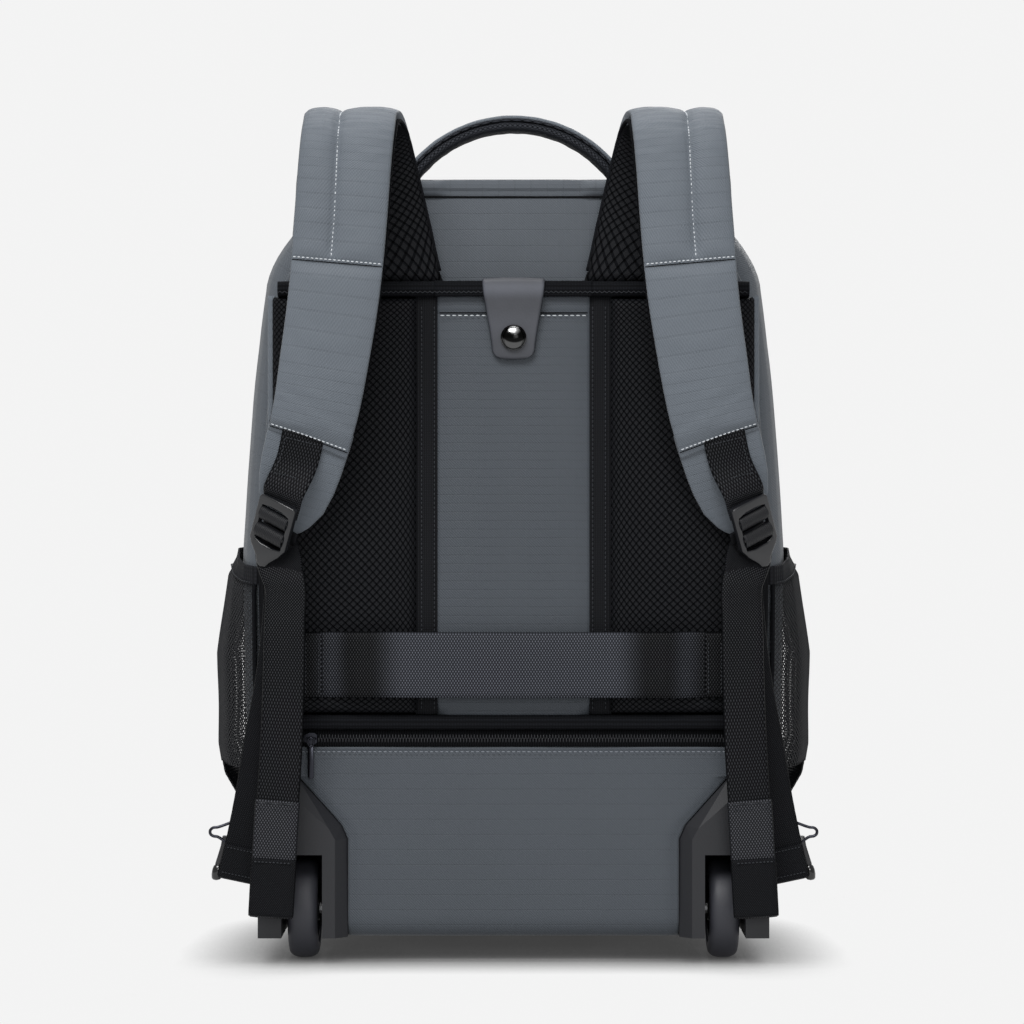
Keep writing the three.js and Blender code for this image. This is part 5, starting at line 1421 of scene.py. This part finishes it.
def build_tab():
    """The closing tab: leather-like, folded over the binding, with a snap."""
    over = PAD_TOP + 11.6
    front = PAD_THICK + 1.3
    end = over - 52.5
    profile = [(16.2, PAD_TOP + 1), (16.1, over - 4), (16.6, over - 1.2), (18, over), (20, over + 0.4),
               (front - 0.6, over), (front + 0.6, over - 1.4), (front + 1.1, over - 6), (front + 0.7, over - 14),
               (front + 0.2, over - 26), (front - 0.4, over - 40), (front - 1.0, end)]
    halves = [(0, 20.2), (10, 19.2), (20, 17.6), (32, 15.4), (42, 14.0), (47.5, 13.6), (50, 12.6), (51.6, 10.8),
              (52.5, 8.2)]
    curve = Route([(0, -off, z) for off, z in profile])

    def face(u, v):
        spot = curve.point(v)
        hangs = spot.y < -19
        fallen = max(over - spot.z, 0) if hangs else 0
        t = 2 * u - 1
        bowed = 0.7 * (1 - t * t) if hangs else 0.0
        cup = 0.9 * (t * t) * smooth(fallen, 4, 30)
        rise = bowed * smooth(fallen, 8, 0)
        return world((table(halves, fallen, 1) * t, spot.y + cup * 0.5, spot.z + rise))

    tab = cloth("closing_tab", face, 26, 90, 1.8, TAB, (40, curve.length()), rim=0.9)
    dress(tab, stands_for=["snap_tab"])
    # The snap's domed cap
    turns = [math.radians(angle) for angle in range(0, 91, 6)]
    dome = [(7.9 * math.sin(turn), 1 + 3.6 * math.cos(turn)) for turn in turns]
    profile = dome + [(8.4, 0.9), (8.5, 0.5), (8.4, 0), (0, 0)]
    cap = lathe("snap_cap", profile, at(0, front + 0.5, end + 13.6), HARNESS_OUT, SNAP, 72, 80)
    dress(cap, stands_for=["snap_button"])


def build_luggage_strap():
    half, low, width = 140, 177, 42

    def lift(from_end):
        return PAD_THICK + 0.4 + 7 * smooth(from_end, 14, 42)

    def face(u, v):
        x = (2 * u - 1) * half
        off = lift(half - abs(x)) + 2 + 0.5 * waver(x * 0.02, v * 2, 6) - 1.2 * (2 * v - 1) ** 4
        return at(x, off, low + width * v + 0.6 * waver(x * 0.015, 3.3, v))

    strap = cloth("luggage_band", face, 180, 16, 2, LUGGAGE_WEBBING, (280, width), rim=0.9)
    dress(strap, stands_for=["luggage_strap"])
    for side, name in ((-1, "left"), (1, "right")):
        def fold(u, v):
            off = lift(13 * u) + 4.0 - 0.9 * (2 * v - 1) ** 4
            return at(side * (half - 0.2 - 13 * u), off, low + 0.4 + (width - 0.8) * v)

        end = cloth(f"luggage_fold_{name}", fold, 10, 12, 1.8, LUGGAGE_WEBBING, (13, width), rim=0.9)
        dress(end)
        heights = range(low + 2, low + width - 1, 4)
        rows = [[at(side * x, PAD_THICK + 4.8, z) for z in heights] for x in (half - 3, half - 11.5)]
        dress(stitches(f"luggage_seams_{name}", rows, HARNESS_OUT, DARK_THREAD, 2.6, 1.9, 0.45))


build_pads()
build_centre_panel()
build_bands()
build_tab()
build_luggage_strap()


# The lower pocket, its zip and the wheel housings' surroundings

LOWER_DEPTH, LOWER_TOP, LOWER_HALF = 15, 143, 163


def housing_reach(z, grow):
    """How far from the middle plane the housings leave the pocket free at a height."""
    reach = HOUSING_INNER_X - grow
    if z <= HOUSING_SHOULDER:
        return reach
    corner_x, corner_z = reach + HOUSING_RUN * 0.12, HOUSING_SHOULDER + (HOUSING_TOP - HOUSING_SHOULDER) * 0.22
    if z <= corner_z:
        return reach + (corner_x - reach) * (z - HOUSING_SHOULDER) / (corner_z - HOUSING_SHOULDER)
    if z <= HOUSING_TOP + grow:
        return corner_x + (reach + HOUSING_RUN - corner_x) * (z - corner_z) / (HOUSING_TOP + grow - corner_z)
    return LOWER_HALF


def build_lower_pocket():
    def face(u, v):
        z = 17.2 + (LOWER_TOP - 17.2) * v
        reach = min(housing_reach(z, 0.6), LOWER_HALF)
        x = (2 * u - 1) * reach
        from_edge = min(reach - abs(x), 40)
        off = 2.5 + 11.5 * channel_of(z - 17.2 + 1.2, 16) + 0.9 * waver(x * 0.013, z * 0.02, 8)
        off += 1.0 * math.sin(math.pi * v) * math.cos(x / LOWER_HALF * math.pi / 2)
        off -= 1.2 * math.exp(-((z - 139.6) / 1.1) ** 2)
        off -= 1.4 * math.exp(-(from_edge / 5) ** 2) * smooth(HOUSING_TOP + 6, z, z + 1)
        return at(x, min(off, LOWER_DEPTH + 0.8), z)

    panel = cloth("lower_panel", face, 120, 70, 2, SHADED_POCKET_GREY, (300, 126))
    lay_weave(panel, 0, 2)
    dress(panel, stands_for=["lower_pocket"])
    row = [at(x, LOWER_DEPTH + 0.7, 140.0) for x in range(-158, 159, 4)]
    dress(stitches("pocket_top_seam", [row], HARNESS_OUT, GREY_THREAD, 3.4, 2.4, 0.4))
    foot = [at(x, 4.2, 18.8) for x in range(-107, 108, 3)]
    dress(tube("pocket_foot_piping", foot, 1.6, FUZZY))
    # Side walls back to the bag above the housings
    for side, name in ((-1, "left"), (1, "right")):
        def wall(u, v):
            x = LOWER_HALF - 0.2 + 1.2 * math.sin(math.pi * u)
            return at(side * x, (LOWER_DEPTH - 1) * (1 - u), HOUSING_TOP + 1 + (LOWER_TOP - HOUSING_TOP - 1) * v)

        piece = cloth(f"lower_wall_{name}", wall, 8, 8, 1.6, SHADED_POCKET_GREY, (15, 18), hint=(side, 0, 0))
        dress(piece)


def zip_run(name, path, outward, tape_half, stands_for, pitch=1.5):
    """A coil zip: two rows of teeth on tape. path and outward give places and outer directions, in metres."""
    outs = [Vector(o).normalized() for o in outward]
    total = 0.0
    points, uvs = [], []
    for index, spot in enumerate(path):
        before, after = path[max(index - 1, 0)], path[min(index + 1, len(path) - 1)]
        side = (after - before).normalized().cross(outs[index]).normalized()
        total += (spot - path[index - 1]).length if index else 0
        for share in (-1, -0.3, 0.3, 1):
            points.append(spot + side * tape_half * share * MM)
            uvs.append((tape_half * share * MM, total))
    tape = new_object(f"{name}_tape", points, grid_faces(0, 3, len(path) - 1), uvs, ZIP_TAPE)
    dress(thicken(tape, 1.2), stands_for=stands_for)
    # Teeth: short bars that cross the middle in two interlocked rows
    points, faces = [], []
    marks = resample(path, pitch * MM)
    nearest = 0
    for index, (low, high) in enumerate(zip(marks, marks[1:])):
        while nearest + 1 < len(path) and (path[nearest + 1] - low).length < (path[nearest] - low).length:
            nearest += 1
        out = outs[nearest] * MM
        along = (high - low).normalized() * 0.36 * pitch * MM
        side = along.cross(out).normalized() * (MM if index % 2 else -MM)
        centre = low + out * 0.9 + side * 1.1
        rings = []
        for reach, half in ((-1.5, 0.3), (-0.9, 0.7), (0.9, 0.75), (1.6, 0.2)):
            corners = ((-1, -1), (1, -1), (1, 1), (-1, 1))
            rings.append([centre + side * reach + along * a + out * o * half for a, o in corners])
        add_rings(points, faces, rings)
    dress(face_out(new_object(f"{name}_teeth", points, faces, None, ZIP_TEETH)))


def zip_slider(name, centre, along, out, stands_for):
    """A cast slider with a bridge for its pull."""
    along, out = Vector(along), Vector(out)
    side = along.cross(out)

    def spot(a, s, o):
        return centre + (along * a + side * s + out * o) * MM

    outline = [(-4.6, -2.4), (-1.5, -4.2), (2.5, -4.2), (4.4, -2.8), (4.4, 2.8), (2.5, 4.2), (-1.5, 4.2), (-4.6, 2.4)]
    rings = []
    for level, shrink in ((0.2, 0.075), (0.6, 0), (3.0, 0), (3.6, 0.105)):
        rings.append([spot(a * (1 - shrink), s * (1 - shrink), level) for a, s in outline])
    body = loft(name, rings, GUNMETAL)
    body.data.set_sharp_from_angle(angle=math.radians(SHARP))
    dress(body, stands_for=stands_for)
    bridge = [spot(a, 0, o) for a, o in ((-2.6, 3.4), (-2.2, 4.7), (-0.8, 5.3), (1.2, 5.3), (2.6, 4.6), (3.0, 3.4))]
    dress(tube(f"{name}_bridge", bridge, 0.9, GUNMETAL))


def zip_pull(name, outline, low, high, stands_for, place=None):
    """A plain flat pull."""
    dress(plate(name, outline, low, high, GUNMETAL, 0.5, place=place), stands_for=stands_for)


PULL_OUTLINE = rounded(-2.1, 2.1, 0, 22.5, 1.6)


def build_lower_zip():
    x, z = -134, (LOWER_TOP + 154.7) / 2
    path = [at(x, 13.7, z) for x in range(-152, 153, 2)]
    zip_run("lower_zip", path, [HARNESS_OUT] * len(path), 5.6, ["lower_zip"], pitch=1.0)
    centre = at(x, 14.2, z)
    zip_slider("lower_slider", centre, (1, 0, 0), HARNESS_OUT, ["lower_zip_slider"])
    ring = [centre + Vector((1.9 * c, -5.6 - 0.3 * s, -2.2 + 3.1 * s)) * MM for c, s in circle(24)]
    dress(tube("lower_pull_ring", ring, 0.55, GUNMETAL, 8, True))
    outline = [(x + right, z + up - 26.4) for right, up in PULL_OUTLINE]
    zip_pull("lower_pull", outline, 17.6, 19.6, ["lower_zip_pull"])


build_lower_pocket()
build_lower_zip()


# Side pockets of net with an elastic rim

NET_TOP, NET_BOTTOM, NET_RIM_RISE, NET_START, NET_END, NET_BULGE = 262, 96, 12, 2, 150, 19
NET_PROFILE = [(0, 0), (0.06, 0.5), (0.13, 0.85), (0.25, 1.03), (0.6, 0.97), (0.9, 0.5), (0.94, 0.25),
               (0.97, 0.08), (1, 0.04)]


def net_top(u):
    return NET_TOP + NET_RIM_RISE * smooth(u, 0, 0.35)


def net_spot(u, share, extra, slack=1.0):
    """A place on the left pocket: u from its rear seam to its front seam, share of its height."""
    z = NET_BOTTOM + (net_top(u) - NET_BOTTOM) * share
    depth = NET_START + (NET_END - NET_START) * u
    turn = math.radians(62 * (1 - smooth(u, 0, 0.3)) - 20 * smooth(u, 0.7, 1))
    out = NET_BULGE * max(math.sin(math.pi * u), 0) ** 0.7 * table(NET_PROFILE, share, 1)
    out += slack * 1.3 * waver(u * 3.1, share * 3.7, 2.0) * math.sin(math.pi * u) * math.sin(math.pi * min(share, 1))
    out += extra
    return world((-bag_side(depth, z) - math.cos(turn) * out, depth - math.sin(turn) * out, z))


def build_side_pockets():
    columns, rows = int(196 / 3.3), int(0.945 * 172 / 1.75)
    points, index = [], {}
    for j in range(rows + 1):
        for i in range(columns + 1):
            u = min(max((i + 0.5 * (j % 2)) / columns, 0), 1)
            share = 0.945 * j / rows
            depth = NET_START + (NET_END - NET_START) * u
            if in_housing(-178, depth - 2, NET_BOTTOM + 170 * share, 2.5):
                continue
            index[i, j] = len(points)
            points.append(net_spot(u, share, 1.2))
    faces = []
    for j in range(rows - 1):
        for i in range(columns + 1):
            shift = j % 2
            corners = [(i, j), (i + shift, j + 1), (i, j + 2), (i + shift - 1, j + 1)]
            if all(c in index for c in corners):
                faces.append(tuple(index[c] for c in corners))
    net = new_object("side_net_left", points, faces, None, YARN)
    work = bmesh.new()
    work.from_mesh(net.data)
    bmesh.ops.delete(work, geom=[v for v in work.verts if not v.link_faces], context="VERTS")
    work.to_mesh(net.data)
    work.free()
    wires = net.modifiers.new("wires", "WIREFRAME")
    wires.thickness = 0.95 * MM
    wires.use_even_offset = False
    apply_modifiers(net)
    for piece in dress_pair(net, stands_for=["side_pocket"]):
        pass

    def rim(u, v):
        return net_spot(0.004 + 0.992 * u, 0.93 + 0.07 * v, 2.7, 0.0)

    band = cloth("pocket_rim_left", rim, 90, 8, 1.4, ELASTIC, (160, 12), hint=(-1, 0, 0), rim=0.8)
    dress_pair(band, stands_for=["pocket_elastic"])
    # Bound seams at both ends and along the foot
    rear = [net_spot(0.012, k / 40 * 0.93, 1.6, 0) for k in range(1, 41)]
    front = [net_spot(0.99, k / 40 * 0.93, 1.6, 0) for k in range(40)]
    foot = [net_spot(0.46 + 0.53 * k / 60, 0.004, 1.4, 0) for k in range(61)]
    for name, path in (("rear", rear), ("front", front), ("foot", foot)):
        dress_pair(tube(f"net_seam_{name}_left", path, 1.5, FUZZY))

    # The tape that covers the pocket's rear seam and the bag's corner beside it
    def tape(u, v):
        z = NET_BOTTOM + (net_top(0) + 8 - NET_BOTTOM) * v
        side = -bag_side(2, z)
        turn = math.radians(90 * min(max((u - 0.35) / 0.3, 0), 1))
        depth = 8 * (1 - u / 0.35) if u < 0.35 else 0
        inward = 13 * (u - 0.65) / 0.35 if u > 0.65 else 0
        return world((side - 1.6 * math.cos(turn) + inward, depth + 0.5 - 2.2 * math.sin(turn), z))

    dress_pair(cloth("pocket_tape_left", tape, 24, 60, 1.2, BORDER, (24, 170), hint=(-1, -1, 0)))
    seams = [[net_spot(0.02 + 0.96 * k / 120, 0.938, 3.6, 0) for k in range(121)]]
    dress_pair(stitches("rim_seam_left", seams, (-1, -0.3, 0), DARK_THREAD, 2.6, 1.8, 0.35))


# Carry handle

def build_handle():
    half_span, width, thick, mesh_thick, rise, place = 79, 26, 7, 3.4, 46, 30
    radius = (half_span ** 2 + rise ** 2) / (2 * rise)
    centre_z = BAG_TOP - 1 + rise - radius
    sweep = 2 * math.atan(rise / half_span) + 0.06
    angles = [sweep * (2 * i / 120 - 1) for i in range(121)]

    def spot(angle, out, depth):
        return world((math.sin(angle) * out, place + depth, centre_z + math.cos(angle) * out))

    def bar(name, low, high, wide, material, lumpy):
        rings = []
        for angle in angles:
            ring = []
            for c, s in circle(32, 0.5):
                c, s = signed(c, 0.55), signed(s, 0.6)
                swell = lumpy * waver(angle * 14, c, s)
                ring.append(spot(angle, radius + (low + high) / 2 + s * ((high - low) / 2 + swell), c * wide / 2))
            rings.append(ring)
        return loft(name, rings, material, (2 * (wide + high - low), 2 * sweep * radius))

    seam = -thick / 2
    top = bar("handle_top", seam, 0, width, LIT_STRAP_GREY, 0.25)
    under = bar("handle_lining", seam - 0.3 - mesh_thick - thick / 2, seam - 0.3, width - 1.5, HANDLE_MESH, 0.4)
    dress(top, stands_for=["carry_handle"])
    dress(under, stands_for=["carry_handle_mesh"])
    for side, name in ((-1, "rear"), (1, "front")):
        path = [spot(angle, radius + seam - 0.1, side * (width / 2 - 0.9)) for angle in angles]
        dress(tube(f"handle_binding_{name}", path, 0.9, HANDLE_MESH))


# Front pocket and the zips that run round the bag

MAIN_ZIP_DEPTH = 138


def front_ring(inset, depth):
    half, low, high, corner = 132, 62, 330, 46
    return [(x, depth, z) for x, z in rounded(-half + inset, half - inset, low + inset, high - inset, corner, 12)]


def build_front_pocket():
    sections = [(0, 0), (0.2, 0), (0.45, 0.02), (0.6, 0.06), (0.75, 0.12), (0.85, 0.2), (0.93, 0.32), (0.975, 0.46),
                (1, 0.62)]
    rings = [[Vector(p) for p in front_ring(inset * 30, BAG_DEPTH + 0.2 + depth * 27.6)] for depth, inset in sections]
    last = rings[-1]
    centre = sum(last, Vector()) / len(last)
    for shrink in (0.92, 0.8, 0.65, 0.5, 0.35, 0.2, 0.08):
        ring = []
        for p in last:
            spot = centre + (p - centre) * shrink
            spot.y += 1.2 * (1 - shrink) - 2.4 * crease(spot.x, spot.y, spot.z, 11.0) * smooth(1 - shrink, 0, 0.3)
            ring.append(spot)
        rings.append(ring)
    placed = [[world(p) for p in ring] for ring in rings]
    obj = loft("front_pocket_cloth", placed, BODY_GREY, (900, 160))
    dress(obj, stands_for=["front_pocket"])
    lay_weave(obj, 0, 2)
    path = [world(p) for p in front_ring(0.6, BAG_DEPTH + 1.2)]
    dress(tube("front_pocket_piping", path, 1.5, FUZZY, 8, True))
    x, z = -86.4, 280
    path = [world((x, BAG_DEPTH + 28.6, z)) for x in range(-108, 109, 2)]
    zip_run("front_zip", path, [(0, 1, 0)] * len(path), 6, ["front_zip"])
    zip_slider("front_slider", world((x, BAG_DEPTH + 28.8, z)), (-1, 0, 0), (0, 1, 0), ["front_zip_slider"])
    place = Matrix.Translation(world((x, BAG_DEPTH + 35, z - 25)))
    zip_pull("front_pull", PULL_OUTLINE, 0, 1.8, ["front_zip_pull"], place)


def arch(depth, grow, foot):
    """The bag's outline over the top at a depth, from a height up, as places."""
    half = [(x, z) for x, z in bag_ring(depth / BAG_DEPTH, grow) if z >= foot]
    return [world((x, depth, z)) for x, z in half + [(-x, z) for x, z in reversed(half[:-1])]]


def build_main_zip():
    path = arch(MAIN_ZIP_DEPTH, 0.9, 200)
    outward = []
    for index in range(len(path)):
        along = path[min(index + 1, len(path) - 1)] - path[max(index - 1, 0)]
        outward.append(Vector((along.z, 0, -along.x)))
    if outward[len(outward) // 2].z < 0:
        outward = [-o for o in outward]
    zip_run("main_zip", path, outward, 7, ["main_zip"], pitch=1.8)
    # Rain flap edges on both sides of the coil
    for name, depth in (("rear", 129.5), ("front", 146.5)):
        dress(tube(f"main_zip_edge_{name}", arch(depth, 0.6, 196), 1.3, BODY_GREY))
    low, high = node_box("main_zip_slider")
    z = low[2]
    centre = world(((low[0] + high[0]) / 2, MAIN_ZIP_DEPTH, z - 0.2))
    zip_slider("main_slider", centre, (1, 0, 0), (0, 0, 1), ["main_zip_slider"])
    # The pull lies flat beside the slider
    _, high = node_box("main_zip_pull")
    lie = Matrix.Translation(world((high[0] - 1.5, MAIN_ZIP_DEPTH, z + 4.5)))
    lie = lie @ Matrix.Rotation(math.radians(-90), 4, "X") @ Matrix.Rotation(math.radians(90), 4, "Y")
    zip_pull("main_pull", PULL_OUTLINE, 0, 1.8, ["main_zip_pull"], lie)


# Tyres

def build_tyres():
    half, outer, rim = 10, 33, 23.1
    profile = [(rim, -half + 0.6), (rim + 0.5, -half + 0.1), (outer - 6, -half), (outer - 3.6, -half + 0.5),
               (outer - 2.1, -half + 1.6), (outer - 1, -half + 3.2), (outer - 0.3, -half + 5.2), (outer, -half + 7.6)]
    tread = profile + [(r, -x) for r, x in reversed(profile)] + [profile[0]]
    low, high = node_box("tyre_left")
    centre = ((low[0] + high[0]) / 2 * MM, BACK_Y + 16 * MM, 33 * MM)
    tyre = lathe("rubber_left", tread, centre, (1, 0, 0), TYRE, 96, 50)
    dress_pair(tyre, "wheel", stands_for=["tyre"])


build_side_pockets()
build_handle()
build_front_pocket()
build_main_zip()
build_tyres()


# What is left of the CAD model: edges softened and the same finishes

KEPT = {
    "wheel_housing": (HOUSING, 1.2), "tyre": (TYRE, 0), "hub": (PLASTIC, 0.6),
    "axle": (STEEL, 0.5), "base_plate": (HOUSING, 0.8), "foot": (PLASTIC, 5.0),
    "trolley_outer": (ALUMINIUM, 0.3), "trolley_stage": (ALUMINIUM, 0.3),
    "trolley_handle": (PLASTIC, 1.0),
}


def finish_cad_nodes():
    for name, node in frame["nodes"].items():
        if node.hide_render:
            continue
        kind = name.replace("_left", "").replace("_right", "")
        material, bevel = KEPT.get(kind, (BODY_GREY, 0))
        if bevel:
            bevelled(node, bevel, 4 if bevel > 3 else 2, 40)
        node.data.materials.clear()
        node.data.materials.append(material)


finish_cad_nodes()


# Camera, floor and light

CAMERA_LENS, CAMERA_AWAY, FLOOR_HALF = 110.7, 2.1, 40


def look_at(obj, target):
    obj.rotation_euler = (Vector(target) - obj.location).to_track_quat("-Z", "Y").to_euler()


def area_light(name, place, target, size, watts):
    data = bpy.data.lights.new(name, "AREA")
    data.shape = "RECTANGLE"
    data.size, data.size_y = size
    data.energy = watts
    light = bpy.data.objects.new(name, data)
    light.location = place
    look_at(light, target)
    bpy.context.scene.collection.objects.link(light)


def build_stage():
    scene = bpy.context.scene
    corners = [(x * FLOOR_HALF, y * FLOOR_HALF, 0) for x, y in ((-1, -1), (1, -1), (1, 1), (-1, 1))]
    floor = new_object("floor", corners, [(0, 1, 2, 3)])
    ground = Finish("floor_white", "000000", 1.0)
    ground.gloss(0.0)
    ground.put(ground.shader, "Emission Color", (1, 1, 1, 1))
    # The floor glows evenly white, but its glow is dimmed by ambient occlusion near the bag: a painted contact shadow.
    near = ground.tree.nodes.new("ShaderNodeAmbientOcclusion")
    near.samples = 12
    ground.put(near, "Distance", 0.06)
    shade = ground.math("POWER", near.outputs["AO"], 1.7)
    ground.put(ground.shader, "Emission Strength", ground.scaled(shade, 0.86, 0.04))
    floor.data.materials.append(ground.material)
    world = bpy.data.worlds.new("studio")
    world.use_nodes = True
    background = world.node_tree.nodes["Background"]
    background.inputs["Color"].default_value = (1, 1, 1, 1)
    # The backdrop is pale for the camera, and lights the bag less than the lamps do
    path = world.node_tree.nodes.new("ShaderNodeLightPath")
    level = world.node_tree.nodes.new("ShaderNodeMapRange")
    level.inputs["To Min"].default_value = 0.42
    level.inputs["To Max"].default_value = 0.9
    world.node_tree.links.new(path.outputs["Is Camera Ray"], level.inputs["Value"])
    world.node_tree.links.new(level.outputs[0], background.inputs["Strength"])
    scene.world = world
    middle = (0, 0, 0.35)
    area_light("key", (-0.5, -1.7, 2.0), (0, 0, 0.35), (1.6, 1.0), 56)
    area_light("front", (0.5, -2.6, 0.75), (0, 0, 0.3), (0.8, 0.6), 11)
    area_light("top", (0, 0.3, 1.9), middle, (1.2, 0.8), 14)
    area_light("rear", (0.6, 2.4, 1.6), middle, (1.6, 1.4), 24)
    data = bpy.data.cameras.new("camera")
    data.lens = CAMERA_LENS
    data.sensor_width = 36
    camera = bpy.data.objects.new("camera", data)
    camera.location = (-0.001, BACK_Y - CAMERA_AWAY, 0.2987)
    camera.rotation_euler = (math.radians(90), 0, 0)
    scene.collection.objects.link(camera)
    scene.camera = camera
    scene.view_settings.view_transform = "Standard"


build_stage()
